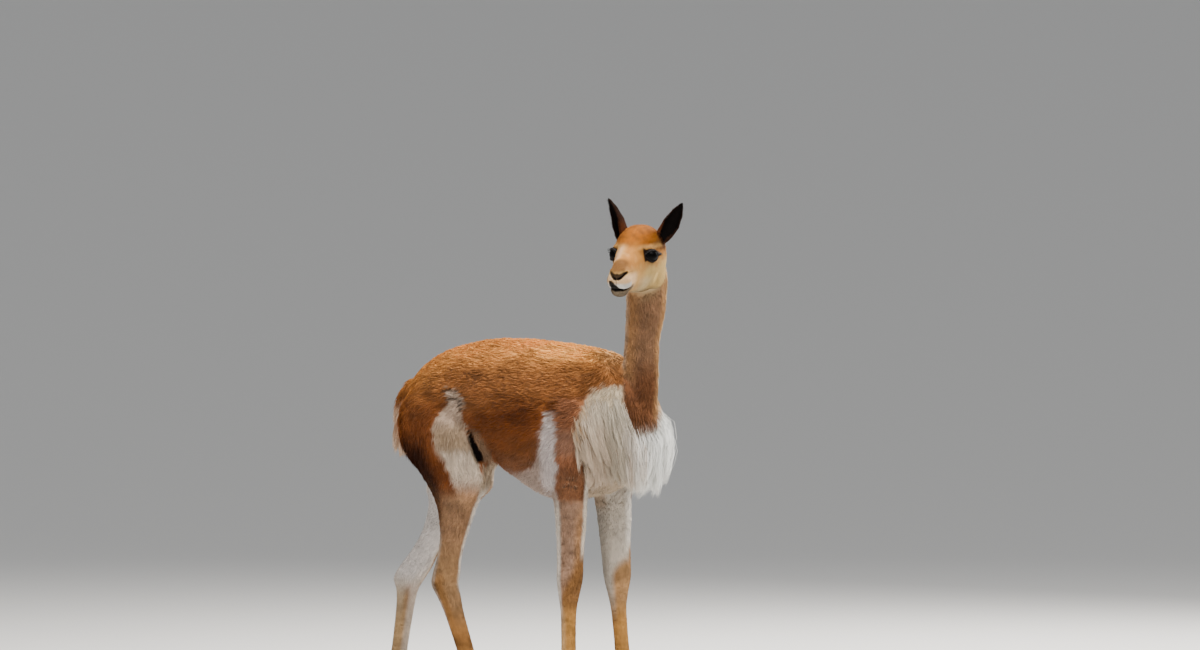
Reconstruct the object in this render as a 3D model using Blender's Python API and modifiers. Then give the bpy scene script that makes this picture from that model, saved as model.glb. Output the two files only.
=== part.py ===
"""A life-size, still model of a vicuna that stands with its head turned to its right.

The body is blended from lofted forms, then parted with thin cuts into named pieces.
+X is the way the body faces, +Y is the animal's left and +Z is up, in metres.
"""

import math

import bmesh
import bpy
import numpy as np
from mathutils import Matrix, Vector
from mathutils.bvhtree import BVHTree

# Driving sizes
GAP = 0.0003
CLEARANCE = 0.0009
CENTRE_SHIFT = (0.2178, 0.0335, 0.0)
SEED = 7

HINDLEG_Y = 0.092
CHEST_PLANE_X = 0.045
NECK_BASE = ((0.120, 0.0, 0.755), (0.60, 0.0, 0.80))
CARPUS_CUT_Z = 0.283
HOCK_CUT_Z = 0.262
FETLOCK_CUT_Z = 0.100
LEG_TOP_Z = {"fore": 0.64, "hind": 0.72}
LEG_MARGIN = 0.014

HEAD_AT = (0.184, -0.096, 1.050)
HEAD_TURN = math.radians(-70.0)
HEAD_PITCH = math.radians(8.0)
HEAD_ROLL = math.radians(-2.5)
HEAD_CUT = ((-0.085, 0.0, -0.045), (0.747, 0.0, 0.664))
EYE_AT = (0.000, 0.0365, 0.000)
EYE_RADIUS = 0.0185
LID_THICKNESS = 0.0032
EYE_OUTWARD = math.radians(54.0)
LID_HALF_WIDTH = 0.0160
LID_HALF_HEIGHT = 0.0118
MOUTH_HALF_TURN = 118.0
MOUTH_RADIUS = 0.0016
MOUTH_HEIGHT = -0.0630
MOUTH_RISE = 0.007
NOSTRIL_RADIUS = 0.0021
# The nostril's slit: turn round the nose in degrees, and height, in the head's frame.
NOSTRIL_SLIT = ((8, -0.0385), (18, -0.0355), (30, -0.0305), (42, -0.0265), (52, -0.0250))
EAR_LENGTH = 0.099
EAR_WALL = 0.003
EAR_ROOT = (-0.064, 0.042, 0.026)
# Each ear's lean outwards, lean backwards and turn of its opening to the side, in degrees.
EAR_TURNS = {"left": (-30.0, -16.0, 14.0), "right": (-22.0, -8.0, 45.0)}

BODY_VOXEL = 0.0065
HEAD_VOXEL = 0.0032
FOOT_VOXEL = 0.0030
BODY_TRIANGLES = 5200
HEAD_TRIANGLES = 3000
FOOT_TRIANGLES = 260

AXES_LENGTHWISE = ((0, 1, 0), (0, 0, 1), (1, 0, 0))
AXES_UPRIGHT = ((0, 1, 0), (1, 0, 0), (0, 0, 1))

# Rows are station, centre across, half width, low side and high side of a section.
TRUNK = [
    (-0.512, 0, 0.015, 0.695, 0.735),
    (-0.500, 0, 0.060, 0.645, 0.775),
    (-0.460, 0, 0.103, 0.595, 0.815),
    (-0.400, 0, 0.124, 0.590, 0.845),
    (-0.330, 0, 0.135, 0.594, 0.862),
    (-0.270, 0, 0.145, 0.583, 0.869),
    (-0.210, 0, 0.150, 0.552, 0.869),
    (-0.150, 0, 0.150, 0.518, 0.866),
    (-0.090, 0, 0.143, 0.496, 0.860),
    (-0.030, 0, 0.133, 0.500, 0.853),
    (0.030, 0, 0.120, 0.512, 0.841),
    (0.080, 0, 0.108, 0.530, 0.818),
    (0.125, 0, 0.090, 0.552, 0.775),
    (0.160, 0, 0.062, 0.588, 0.722),
    (0.177, 0, 0.020, 0.632, 0.678),
]
NECK = [
    (0.600, 0, 0.050, 0.010, 0.120),
    (0.650, 0, 0.052, 0.025, 0.158),
    (0.700, 0, 0.047, 0.050, 0.172),
    (0.740, 0, 0.041, 0.074, 0.176),
    (0.780, 0, 0.0375, 0.088, 0.176),
    (0.820, 0, 0.0365, 0.093, 0.176),
    (0.870, 0, 0.0370, 0.097, 0.180),
    (0.920, -0.001, 0.0390, 0.101, 0.193),
    (0.970, -0.004, 0.0415, 0.105, 0.200),
    (1.010, -0.008, 0.0420, 0.109, 0.203),
    (1.045, -0.010, 0.0380, 0.113, 0.198),
    (1.070, -0.012, 0.0200, 0.130, 0.175),
]
# The head's own rows are in its frame: the middle of the eyes is its origin.
SKULL = [
    (-0.128, 0, 0.016, -0.030, 0.012),
    (-0.118, 0, 0.036, -0.055, 0.038),
    (-0.095, 0, 0.0525, -0.078, 0.057),
    (-0.060, 0, 0.0585, -0.088, 0.066),
    (-0.030, 0, 0.0570, -0.089, 0.064),
    (0.000, 0, 0.0490, -0.086, 0.054),
    (0.025, 0, 0.0385, -0.082, 0.040),
    (0.050, 0, 0.0325, -0.078, 0.024),
    (0.075, 0, 0.0285, -0.076, 0.009),
    (0.098, 0, 0.0265, -0.076, -0.003),
    (0.116, 0, 0.0235, -0.074, -0.012),
    (0.128, 0, 0.0160, -0.068, -0.022),
    (0.133, 0, 0.0060, -0.056, -0.036),
]
# Soft masses of the head: centre, radii and turn about Z in degrees; those off the middle are mirrored.
HEAD_MASSES = [
    ((-0.054, 0.031, -0.042), (0.050, 0.029, 0.042), 6),
    ((-0.004, 0.034, 0.018), (0.026, 0.014, 0.009), -14),
    ((0.110, 0.014, -0.044), (0.021, 0.0145, 0.018), 0),
    ((0.112, 0.012, -0.024), (0.013, 0.0095, 0.010), 0),
    ((0.108, 0.000, -0.069), (0.019, 0.0195, 0.0130), 0),
]
FORELEG = [
    (0.800, 0.055, 0.026, -0.055, 0.010),
    (0.740, 0.084, 0.044, -0.072, 0.052),
    (0.680, 0.094, 0.047, -0.074, 0.082),
    (0.620, 0.096, 0.045, -0.074, 0.078),
    (0.570, 0.094, 0.042, -0.069, 0.062),
    (0.530, 0.092, 0.038, -0.054, 0.052),
    (0.500, 0.091, 0.0355, -0.041, 0.049),
    (0.450, 0.090, 0.0330, -0.034, 0.044),
    (0.400, 0.089, 0.0310, -0.032, 0.039),
    (0.360, 0.089, 0.0300, -0.030, 0.036),
    (0.322, 0.089, 0.0300, -0.030, 0.034),
    (0.285, 0.089, 0.0250, -0.026, 0.026),
    (0.250, 0.089, 0.0200, -0.021, 0.019),
    (0.200, 0.089, 0.0185, -0.019, 0.018),
    (0.150, 0.089, 0.0185, -0.0185, 0.0185),
    (0.105, 0.089, 0.0205, -0.019, 0.021),
    (0.080, 0.089, 0.0225, -0.020, 0.024),
]
# Hind leg: height, half width, and how far it reaches behind and before the line of its bones.
HIND_SECTIONS = [
    (0.790, 0.028, 0.040, 0.040),
    (0.755, 0.050, 0.078, 0.086),
    (0.700, 0.061, 0.112, 0.104),
    (0.640, 0.062, 0.132, 0.096),
    (0.600, 0.059, 0.128, 0.086),
    (0.560, 0.053, 0.113, 0.063),
    (0.516, 0.045, 0.090, 0.054),
    (0.477, 0.037, 0.063, 0.044),
    (0.430, 0.031, 0.044, 0.035),
    (0.390, 0.0275, 0.037, 0.030),
    (0.355, 0.0255, 0.038, 0.029),
    (0.325, 0.0255, 0.041, 0.033),
    (0.298, 0.0255, 0.040, 0.035),
    (0.270, 0.0235, 0.031, 0.029),
    (0.240, 0.0205, 0.026, 0.025),
    (0.190, 0.0190, 0.023, 0.023),
    (0.140, 0.0185, 0.0215, 0.0215),
    (0.105, 0.0205, 0.022, 0.023),
    (0.080, 0.0225, 0.024, 0.026),
]
# Each hind leg's hip, stifle, hock and fetlock: x and z.
HIND_JOINTS = {
    "right": ((-0.395, 0.740), (-0.298, 0.545), (-0.357, 0.297), (-0.272, 0.080)),
    "left": ((-0.410, 0.740), (-0.430, 0.530), (-0.618, 0.292), (-0.656, 0.080)),
}
# Each foreleg's shift along X, from the elbow down to the fetlock, and how stout its forearm is.
FORELEG_SHIFT = {"right": (0.000, -0.004), "left": (-0.025, 0.022)}
FOREARM_SCALE = {"right": 1.00, "left": 1.10}
ELBOW_Z = 0.570
FETLOCK_Z = 0.080

# A toe's rows run forwards from the fetlock: x, sideways shift, half width, low and high.
TOE = [
    (-0.030, 0.010, 0.006, 0.012, 0.030),
    (-0.022, 0.011, 0.0115, -0.004, 0.050),
    (-0.004, 0.012, 0.0140, -0.005, 0.078),
    (0.016, 0.0130, 0.0140, -0.005, 0.072),
    (0.034, 0.0140, 0.0135, -0.005, 0.054),
    (0.050, 0.0145, 0.0125, -0.005, 0.041),
    (0.063, 0.0150, 0.0100, -0.003, 0.031),
    (0.069, 0.0150, 0.0040, 0.006, 0.018),
]
NAIL = [
    (0.046, 0.0147, 0.0050, 0.027, 0.036),
    (0.055, 0.0149, 0.0086, 0.014, 0.040),
    (0.067, 0.0151, 0.0082, 0.004, 0.032),
    (0.077, 0.0152, 0.0056, 0.001, 0.019),
    (0.084, 0.0152, 0.0020, 0.001, 0.006),
]
TAIL = [
    (0.785, 0, 0.016, -0.505, -0.480),
    (0.770, 0, 0.026, -0.540, -0.485),
    (0.740, 0, 0.032, -0.566, -0.500),
    (0.695, 0, 0.033, -0.582, -0.520),
    (0.650, 0, 0.030, -0.580, -0.526),
    (0.617, 0, 0.022, -0.572, -0.531),
    (0.600, 0, 0.008, -0.560, -0.544),
]

# Tiers of chest locks: height, spread in degrees, count, length and lift; then each lock's width and depth.
BIB_TIERS = [
    (0.735, 74, 8, 0.112, 0.022),
    (0.698, 76, 10, 0.124, 0.034),
    (0.658, 76, 10, 0.120, 0.033),
    (0.616, 72, 9, 0.104, 0.026),
    (0.580, 56, 7, 0.080, 0.018),
]
BIB_LOCK_WIDTH = (0.032, 0.042)
BIB_LOCK_DEPTH = 0.012
BIB_BACK_X = 0.056
# The neck's short brown hair runs down between the locks above this height.
TONGUE_LOW_Z = 0.645
TONGUE_HALF_TURN = math.radians(24.0)
# Tiers of tail locks: height and length; then their turns round the tail, width, depth and lift.
TAIL_TIERS = [
    (0.705, 0.090),
    (0.655, 0.062),
]
TAIL_TURNS = (180, 120, 240, 60, 300)
TAIL_LOCK = (0.024, 0.008, 0.007)

COLOURS = {
    "cinnamon": (0.47, 0.22, 0.08),
    "fawn": (0.58, 0.34, 0.17),
    "ivory": (0.80, 0.76, 0.68),
    "dark_ear": (0.10, 0.06, 0.04),
    "eye": (0.010, 0.008, 0.007),
    "nail": (0.05, 0.045, 0.04),
}


def clear_scene():
    """Removes whatever the scene holds."""
    for thing in list(bpy.data.objects):
        bpy.data.objects.remove(thing)


def collection(name):
    """A new collection in the scene."""
    made = bpy.data.collections.new(name)
    bpy.context.scene.collection.children.link(made)
    return made


def add_mesh(name, points, faces, home=None):
    """A mesh object with its faces pointing outwards."""
    mesh = bpy.data.meshes.new(name)
    mesh.from_pydata([tuple(p) for p in points], [], [tuple(f) for f in faces])
    form = bmesh.new()
    form.from_mesh(mesh)
    bmesh.ops.recalc_face_normals(form, faces=form.faces)
    form.to_mesh(mesh)
    form.free()
    made = bpy.data.objects.new(name, mesh)
    (home or bpy.context.scene.collection).objects.link(made)
    return made


def smooth_rows(rows, count):
    """Rows on a Catmull-Rom curve through the given rows."""
    rows = np.array(rows, float)
    padded = np.vstack([2 * rows[0] - rows[1], rows, 2 * rows[-1] - rows[-2]])
    at = np.linspace(0, len(rows) - 1, count)
    index = np.minimum(at.astype(int), len(rows) - 2)
    t = (at - index)[:, None]
    a, b, c, d = (padded[index + k] for k in range(4))
    curve = 2 * b + (c - a) * t + (2 * a - 5 * b + 4 * c - d) * t**2
    return 0.5 * (curve + (3 * b - a - 3 * c + d) * t**3)


def tube(name, rows, axes, sides=24, rings=48, fullness=0.94, home=None):
    """A closed loft: each row is a rounded section, squarer as fullness falls below 1."""
    across, along, station = (np.array(axis, float) for axis in axes)
    at, centre, half, low, high = smooth_rows(rows, rings).T[:, :, None]
    turn = np.linspace(0, math.tau, sides, endpoint=False)[None, :]
    side = np.sign(np.cos(turn)) * np.abs(np.cos(turn)) ** fullness
    rise = np.sign(np.sin(turn)) * np.abs(np.sin(turn)) ** fullness
    u = centre + half * side
    v = (low + high) / 2 + (high - low) / 2 * rise
    w = at + 0 * turn
    points = u[..., None] * across + v[..., None] * along + w[..., None] * station
    return closed_rings(name, points, home)


def closed_rings(name, rings, home=None):
    """Joins rings of points, one after the other, and closes both ends."""
    count, sides = rings.shape[:2]
    near = np.arange(sides)
    beside = (near + 1) % sides
    steps = (np.arange(count - 1) * sides)[:, None]
    quads = np.stack([near + steps, beside + steps, beside + steps + sides, near + steps + sides], axis=-1)
    faces = [*quads.reshape(-1, 4).tolist(), near[::-1].tolist(), (near + (count - 1) * sides).tolist()]
    return add_mesh(name, rings.reshape(-1, 3), faces, home)


def ellipsoid(name, centre, radii, turn_degrees=0.0, segments=24):
    """A scaled sphere, turned about Z."""
    form = bmesh.new()
    bmesh.ops.create_uvsphere(form, u_segments=segments, v_segments=segments // 2, radius=1.0)
    mesh = bpy.data.meshes.new(name)
    form.to_mesh(mesh)
    form.free()
    place = Matrix.Translation(centre) @ Matrix.Rotation(math.radians(turn_degrees), 4, "Z")
    mesh.transform(place @ Matrix.Diagonal((*radii, 1.0)))
    made = bpy.data.objects.new(name, mesh)
    bpy.context.scene.collection.objects.link(made)
    return made


def settle(thing):
    """Applies the object's modifiers to its mesh."""
    bpy.context.view_layer.update()
    graph = bpy.context.evaluated_depsgraph_get()
    mesh = bpy.data.meshes.new_from_object(thing.evaluated_get(graph))
    thing.modifiers.clear()
    thing.data = mesh
    return thing


def join(name, pieces):
    """One object that holds the pieces' meshes as they are."""
    form = bmesh.new()
    for piece in pieces:
        piece.data.transform(piece.matrix_world)
        form.from_mesh(piece.data)
        bpy.data.objects.remove(piece)
    mesh = bpy.data.meshes.new(name)
    form.to_mesh(mesh)
    form.free()
    made = bpy.data.objects.new(name, mesh)
    bpy.context.scene.collection.objects.link(made)
    return made


def blend(name, pieces, voxel, passes, triangles):
    """Fuses overlapping forms into one soft skin with about that many triangles."""
    made = join(name, pieces)
    remesh = made.modifiers.new("fuse", "REMESH")
    remesh.mode = "VOXEL"
    remesh.voxel_size = voxel
    remesh.adaptivity = 0.0
    soften = made.modifiers.new("soften", "SMOOTH")
    soften.factor = 0.5
    soften.iterations = passes
    settle(made)
    keep_largest(made)
    thin = made.modifiers.new("thin", "DECIMATE")
    thin.ratio = min(1.0, triangles / (2 * len(made.data.polygons)))
    return settle(made)


def copy_of(thing, name):
    """A copy with a mesh of its own."""
    made = thing.copy()
    made.data = thing.data.copy()
    made.name = name
    bpy.context.scene.collection.objects.link(made)
    return made


def grown(thing, by):
    """A copy whose surface stands out by that much."""
    made = copy_of(thing, thing.name + "_grown")
    swell = made.modifiers.new("swell", "DISPLACE")
    swell.strength = by
    swell.mid_level = 0.0
    return settle(made)


def boolean(thing, other, operation, solver="EXACT"):
    """Cuts, joins or crosses an object with another, which is then removed."""
    change = thing.modifiers.new(operation.lower(), "BOOLEAN")
    change.operation = operation
    change.solver = solver
    change.object = other
    settle(thing)
    bpy.data.objects.remove(other)
    return thing


def unite(thing, pieces, solver="EXACT"):
    """Joins an object with a collection of closed pieces by one union, and removes them."""
    change = thing.modifiers.new("unite", "BOOLEAN")
    change.operation = "UNION"
    change.solver = solver
    change.operand_type = "COLLECTION"
    change.collection = pieces
    settle(thing)
    for piece in list(pieces.objects):
        bpy.data.objects.remove(piece)
    bpy.data.collections.remove(pieces)
    return keep_largest(thing)


def keep_largest(thing):
    """Drops every closed surface of the mesh but the one with the most volume."""
    form = bmesh.new()
    form.from_mesh(thing.data)
    bmesh.ops.remove_doubles(form, verts=form.verts, dist=1e-6)
    bmesh.ops.triangulate(form, faces=form.faces)
    waiting = set(form.verts)
    islands = []
    while waiting:
        island, edge = set(), [waiting.pop()]
        while edge:
            vert = edge.pop()
            island.add(vert)
            near = {e.other_vert(vert) for e in vert.link_edges} & waiting
            waiting -= near
            edge.extend(near)
        faces = {f for v in island for f in v.link_faces}
        volume = sum(f.verts[0].co.dot(f.verts[1].co.cross(f.verts[2].co)) for f in faces) / 6
        islands.append((volume, island))
    islands.sort(key=lambda pair: pair[0])
    for _, island in islands[:-1]:
        bmesh.ops.delete(form, geom=list(island), context="VERTS")
    form.to_mesh(thing.data)
    form.free()
    return thing


def halves(thing, point, normal, names, gap=GAP):
    """Parts an object by a plane: the half on the normal's side comes first."""
    normal = Vector(normal).normalized()
    made = []
    for name, side in zip(names, (1, -1)):
        half = copy_of(thing, name)
        form = bmesh.new()
        form.from_mesh(half.data)
        at = Vector(point) + normal * side * gap / 2
        whole = [*form.verts, *form.edges, *form.faces]
        cut = bmesh.ops.bisect_plane(form, geom=whole, dist=1e-7, plane_co=at, plane_no=normal * side, clear_inner=True)
        rim = [e for e in cut["geom_cut"] if isinstance(e, bmesh.types.BMEdge)]
        bmesh.ops.holes_fill(form, edges=rim, sides=0)
        bmesh.ops.triangulate(form, faces=form.faces)
        bmesh.ops.recalc_face_normals(form, faces=form.faces)
        form.to_mesh(half.data)
        form.free()
        made.append(keep_largest(half))
    bpy.data.objects.remove(thing)
    return made


def head_matrix():
    """Carries the head's own frame to its place: tilted, pitched down, then turned."""
    turn = Matrix.Rotation(HEAD_TURN, 4, "Z") @ Matrix.Rotation(HEAD_PITCH, 4, "Y")
    return Matrix.Translation(HEAD_AT) @ turn @ Matrix.Rotation(HEAD_ROLL, 4, "X")


def mirrored(rows, side):
    """Rows for the leg of that side: the animal's left is +Y."""
    sign = 1 if side == "left" else -1
    return [(row[0], sign * row[1], *row[2:]) for row in rows]


def foreleg_rows(side):
    """The foreleg's sections, moved along X from the elbow down."""
    top, foot = FORELEG_SHIFT[side]
    rows = []
    for z, y, half, low, high in FORELEG:
        shift = np.interp(z, (FETLOCK_Z, ELBOW_Z), (foot, top))
        scale = np.interp(z, (0.28, 0.36, 0.56, 0.64), (1, FOREARM_SCALE[side], FOREARM_SCALE[side], 1))
        rows.append((z, y, half * scale, low * scale + shift, high * scale + shift))
    return mirrored(rows, side)


def hind_rows(side):
    """The hind leg's sections, set about the line from hip to stifle, hock and fetlock."""
    joints = np.array(HIND_JOINTS[side])[::-1]
    rows = []
    for z, half, back, front in HIND_SECTIONS:
        x = np.interp(z, joints[:, 1], joints[:, 0])
        lean = np.interp(z + 0.01, joints[:, 1], joints[:, 0]) - np.interp(z - 0.01, joints[:, 1], joints[:, 0])
        spread = 1.0 + 0.5 * (lean / 0.02) ** 2
        inset = np.interp(z, (0.60, 0.79), (0.0, 0.034))
        rows.append((z, HINDLEG_Y - inset, half, x - back * spread, x + front * spread))
    return mirrored(rows, side)


def widened(rows, by, top):
    """A leg's sections made larger all round and capped at a height, as a region to cut by."""
    kept = [(z, y, half + by, low - by, high + by) for z, y, half, low, high in rows if z < top]
    z, y, half, low, high = kept[0]
    middle, reach = (low + high) / 2, (high - low) / 2
    cap = [(z + 0.035, y, half * 0.25, middle - reach * 0.25, middle + reach * 0.25),
           (z + 0.025, y, half * 0.75, middle - reach * 0.75, middle + reach * 0.75)]
    z, y, half, low, high = kept[-1]
    return [*cap, *kept, (-0.05, y, half, low, high)]


def head_forms():
    """The head's lofts and masses, in place."""
    pieces = [tube("skull", SKULL, AXES_LENGTHWISE, fullness=0.90)]
    for centre, radii, turn in HEAD_MASSES:
        for side in (1, -1) if centre[1] else (1,):
            place = (centre[0], side * centre[1], centre[2])
            pieces.append(ellipsoid("mass", place, radii, side * turn))
    for side in (1, -1):
        lid = EYE_RADIUS + LID_THICKNESS
        pieces.append(ellipsoid("lid", (EYE_AT[0], side * EYE_AT[1], EYE_AT[2]), (lid, lid, lid)))
    for piece in pieces:
        piece.data.transform(head_matrix())
    return pieces


def body_blank():
    """Trunk, neck and legs as one skin, with the head's forms to shape the top of the neck."""
    forms = [tube("trunk", TRUNK, AXES_LENGTHWISE, sides=36, rings=60), tube("neck", NECK, AXES_UPRIGHT)]
    for side in ("left", "right"):
        forms.append(tube("foreleg", foreleg_rows(side), AXES_UPRIGHT, rings=60))
        forms.append(tube("hindleg", hind_rows(side), AXES_UPRIGHT, rings=60))
    return blend("body", forms + head_forms(), BODY_VOXEL, 10, BODY_TRIANGLES)


def parted_legs(body):
    """Takes the four legs off the body, each in an upper and a lower length."""
    legs = {}
    for kind, rows_of, cut in (("fore", foreleg_rows, CARPUS_CUT_Z), ("hind", hind_rows, HOCK_CUT_Z)):
        for side in ("left", "right"):
            name = f"{kind}leg_{side}"
            rows = widened(rows_of(side), LEG_MARGIN, LEG_TOP_Z[kind])
            region = tube("region", rows, AXES_UPRIGHT, sides=14, rings=22)
            leg = copy_of(body, name)
            boolean(leg, copy_of(region, "region_copy"), "INTERSECT")
            boolean(body, grown(region, GAP), "DIFFERENCE")
            bpy.data.objects.remove(region)
            keep_largest(leg)
            upper, rest = halves(leg, (0, 0, cut), (0, 0, 1), (f"upper_{name}", "rest"))
            shank, stub = halves(rest, (0, 0, FETLOCK_CUT_Z), (0, 0, 1), (f"lower_{name}", "stub"))
            bpy.data.objects.remove(stub)
            legs[f"upper_{name}"] = upper
            legs[f"lower_{name}"] = shank
    keep_largest(body)
    return legs


def foot(kind, side):
    """The fetlock and two toes, flat below, and the two nails."""
    rows = foreleg_rows(side) if kind == "fore" else hind_rows(side)
    low_row = rows[-1]
    x, y = (low_row[3] + low_row[4]) / 2, low_row[1]
    pastern = [row for row in rows if row[0] < 0.16] + [(0.050, y, 0.017, x - 0.014, x + 0.020)]
    pieces = [tube("pastern", pastern, AXES_UPRIGHT, sides=16, rings=16)]
    for way in (1, -1):
        toe = [(x + dx, y + way * dy, half, low, high) for dx, dy, half, low, high in TOE]
        pieces.append(tube("toe", toe, AXES_LENGTHWISE, sides=20, rings=24))
    name = f"{kind}foot_{side}"
    whole = blend("foot", pieces, FOOT_VOXEL, 4, FOOT_TRIANGLES * 1.3)
    low, stub = halves(whole, (0, 0, FETLOCK_CUT_Z), (0, 0, -1), ("low", "stub"))
    bpy.data.objects.remove(stub)
    made, sole = halves(low, (0, 0, 0), (0, 0, 1), (name, "sole"), gap=0.0)
    bpy.data.objects.remove(sole)
    nails = []
    for way, place in ((1, "left"), (-1, "right")):
        rows = [(x + dx, y + way * dy, half, low, high) for dx, dy, half, low, high in NAIL]
        nail = tube(f"{kind}nail_{side}_{place}", rows, AXES_LENGTHWISE, sides=10, rings=8)
        nails.append(keep_largest(boolean(nail, grown(made, GAP), "DIFFERENCE")))
    return [made, *nails]


def surface_finder(thing):
    """Returns a function that finds where a ray from inside leaves the surface, and its normal."""
    points = [thing.matrix_world @ v.co for v in thing.data.vertices]
    tree = BVHTree.FromPolygons(points, [tuple(p.vertices) for p in thing.data.polygons])

    def find(origin, direction):
        at, normal, _, _ = tree.ray_cast(Vector(origin), Vector(direction))
        return at, normal

    return find


def eye_spheres(extra, name, side):
    """One eyeball, in place."""
    centre = (EYE_AT[0], side * EYE_AT[1], EYE_AT[2])
    radius = EYE_RADIUS + extra
    ball = ellipsoid(name, centre, (radius, radius, radius), 0.0, 18)
    ball.data.transform(head_matrix())
    return ball


def lid_opening(side):
    """An almond-shaped prism along the eye's outward axis."""
    turn = np.linspace(0, math.tau, 20, endpoint=False)
    across = LID_HALF_WIDTH * np.cos(turn)
    up = LID_HALF_HEIGHT * np.sin(turn) * (1 - 0.25 * np.cos(turn) ** 2) - 0.0006
    out = np.array([0.004, 0.045])
    rings = np.stack(np.broadcast_arrays(across[None], out[:, None], up[None]), axis=-1)
    made = closed_rings("opening", rings)
    aim = Matrix.Rotation(EYE_OUTWARD - math.pi / 2, 4, "Z") @ Matrix.Rotation(math.radians(-4), 4, "Y")
    flip = Matrix.Diagonal((1, side, 1, 1))
    made.data.transform(head_matrix() @ flip @ Matrix.Translation(EYE_AT) @ aim)
    form = bmesh.new()
    form.from_mesh(made.data)
    bmesh.ops.recalc_face_normals(form, faces=form.faces)
    form.to_mesh(made.data)
    form.free()
    return made


def tube_along(name, points, radius):
    """A round tube along points, as a closed mesh."""
    curve = bpy.data.curves.new(name, "CURVE")
    curve.dimensions = "3D"
    curve.bevel_depth = radius
    curve.bevel_resolution = 1
    curve.use_fill_caps = True
    line = curve.splines.new("POLY")
    line.points.add(len(points) - 1)
    for knot, point in zip(line.points, points):
        knot.co = (*point, 1)
    drawn = bpy.data.objects.new(name + "_curve", curve)
    bpy.context.scene.collection.objects.link(drawn)
    bpy.context.view_layer.update()
    mesh = bpy.data.meshes.new_from_object(drawn.evaluated_get(bpy.context.evaluated_depsgraph_get()))
    form = bmesh.new()
    form.from_mesh(mesh)
    bmesh.ops.remove_doubles(form, verts=form.verts, dist=1e-5)
    bmesh.ops.recalc_face_normals(form, faces=form.faces)
    form.to_mesh(mesh)
    form.free()
    made = bpy.data.objects.new(name, mesh)
    made.matrix_world = drawn.matrix_world
    bpy.context.scene.collection.objects.link(made)
    bpy.data.objects.remove(drawn)
    return made


def mouth_line(find):
    """The groove between the lips: round the front of the muzzle and back to both corners."""
    place = head_matrix()
    points = []
    for turn in np.radians(np.linspace(-MOUTH_HALF_TURN, MOUTH_HALF_TURN, 25)):
        origin = place @ Vector((0.092, 0, MOUTH_HEIGHT + MOUTH_RISE * max(0.0, abs(turn) - 0.5)))
        way = place.to_3x3() @ Vector((math.cos(turn), math.sin(turn), 0))
        points.append(find(origin, way)[0])
    return tube_along("mouth", points, MOUTH_RADIUS)


def nostril(find, side):
    """A comma-shaped slit in the side of the nose."""
    place = head_matrix()
    points = []
    for turn, height in NOSTRIL_SLIT:
        origin = place @ Vector((0.100, 0, height))
        angle = math.radians(turn * side)
        way = place.to_3x3() @ Vector((math.cos(angle), math.sin(angle), 0))
        points.append(find(origin, way)[0])
    return tube_along("nostril", points, NOSTRIL_RADIUS)


def head_with_face():
    """The head with its sockets, lids, nostrils and mouth."""
    neck_top = [row for row in NECK if row[0] > 0.85]
    forms = head_forms() + [tube("neck_top", neck_top, AXES_UPRIGHT)]
    whole = blend("whole_head", forms, HEAD_VOXEL, 10, HEAD_TRIANGLES * 1.15)
    place = head_matrix()
    point, normal = place @ Vector(HEAD_CUT[0]), place.to_3x3() @ Vector(HEAD_CUT[1])
    head, rest = halves(whole, point, normal, ("head", "rest"))
    bpy.data.objects.remove(rest)
    find = surface_finder(head)
    grooves = [mouth_line(find), nostril(find, 1), nostril(find, -1)]
    for groove in grooves:
        boolean(head, groove, "DIFFERENCE")
    for side in (1, -1):
        boolean(head, eye_spheres(GAP, "socket", side), "DIFFERENCE")
        boolean(head, lid_opening(side), "DIFFERENCE")
    return keep_largest(head)


def ear(side, head):
    """A pointed cup, rolled at its foot and open towards the front."""
    s = np.linspace(0, 1, 10)[:, None]
    t = np.linspace(-1, 1, 9)[None, :]
    radius = np.interp(s, (0, 0.18, 0.45, 0.75, 1), (0.0125, 0.0165, 0.0180, 0.0120, 0.0012))
    spread = np.radians(np.interp(s, (0, 0.2, 0.5, 1), (140, 112, 92, 78)))
    angle = spread * t
    lean_in = 0.002 * np.sin(math.pi * s) - 0.003 * s**2
    points = np.stack(
        np.broadcast_arrays(-radius * np.cos(angle) + 0.006 * s, lean_in + radius * np.sin(angle), EAR_LENGTH * s),
        axis=-1,
    )
    count, sides = points.shape[:2]
    index = np.arange(count * sides).reshape(count, sides)
    quads = np.stack([index[:-1, :-1], index[:-1, 1:], index[1:, 1:], index[1:, :-1]], axis=-1)
    mesh = bpy.data.meshes.new("ear_" + side)
    mesh.from_pydata(points.reshape(-1, 3).tolist(), [], quads.reshape(-1, 4).tolist())
    made = bpy.data.objects.new("ear_" + side, mesh)
    bpy.context.scene.collection.objects.link(made)
    wall = made.modifiers.new("wall", "SOLIDIFY")
    wall.thickness = EAR_WALL
    wall.offset = 0.0
    settle(made)
    outward, backward, turn = (math.radians(degrees) for degrees in EAR_TURNS[side])
    lean = Matrix.Rotation(outward, 4, "X") @ Matrix.Rotation(backward, 4, "Y")
    aim = Matrix.Rotation(turn, 4, "Z")
    flip = Matrix.Diagonal((1, 1 if side == "left" else -1, 1, 1))
    made.data.transform(head_matrix() @ flip @ Matrix.Translation(EAR_ROOT) @ lean @ aim)
    form = bmesh.new()
    form.from_mesh(made.data)
    bmesh.ops.recalc_face_normals(form, faces=form.faces)
    form.to_mesh(made.data)
    form.free()
    boolean(made, grown(head, GAP), "DIFFERENCE")
    return keep_largest(made)


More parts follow.
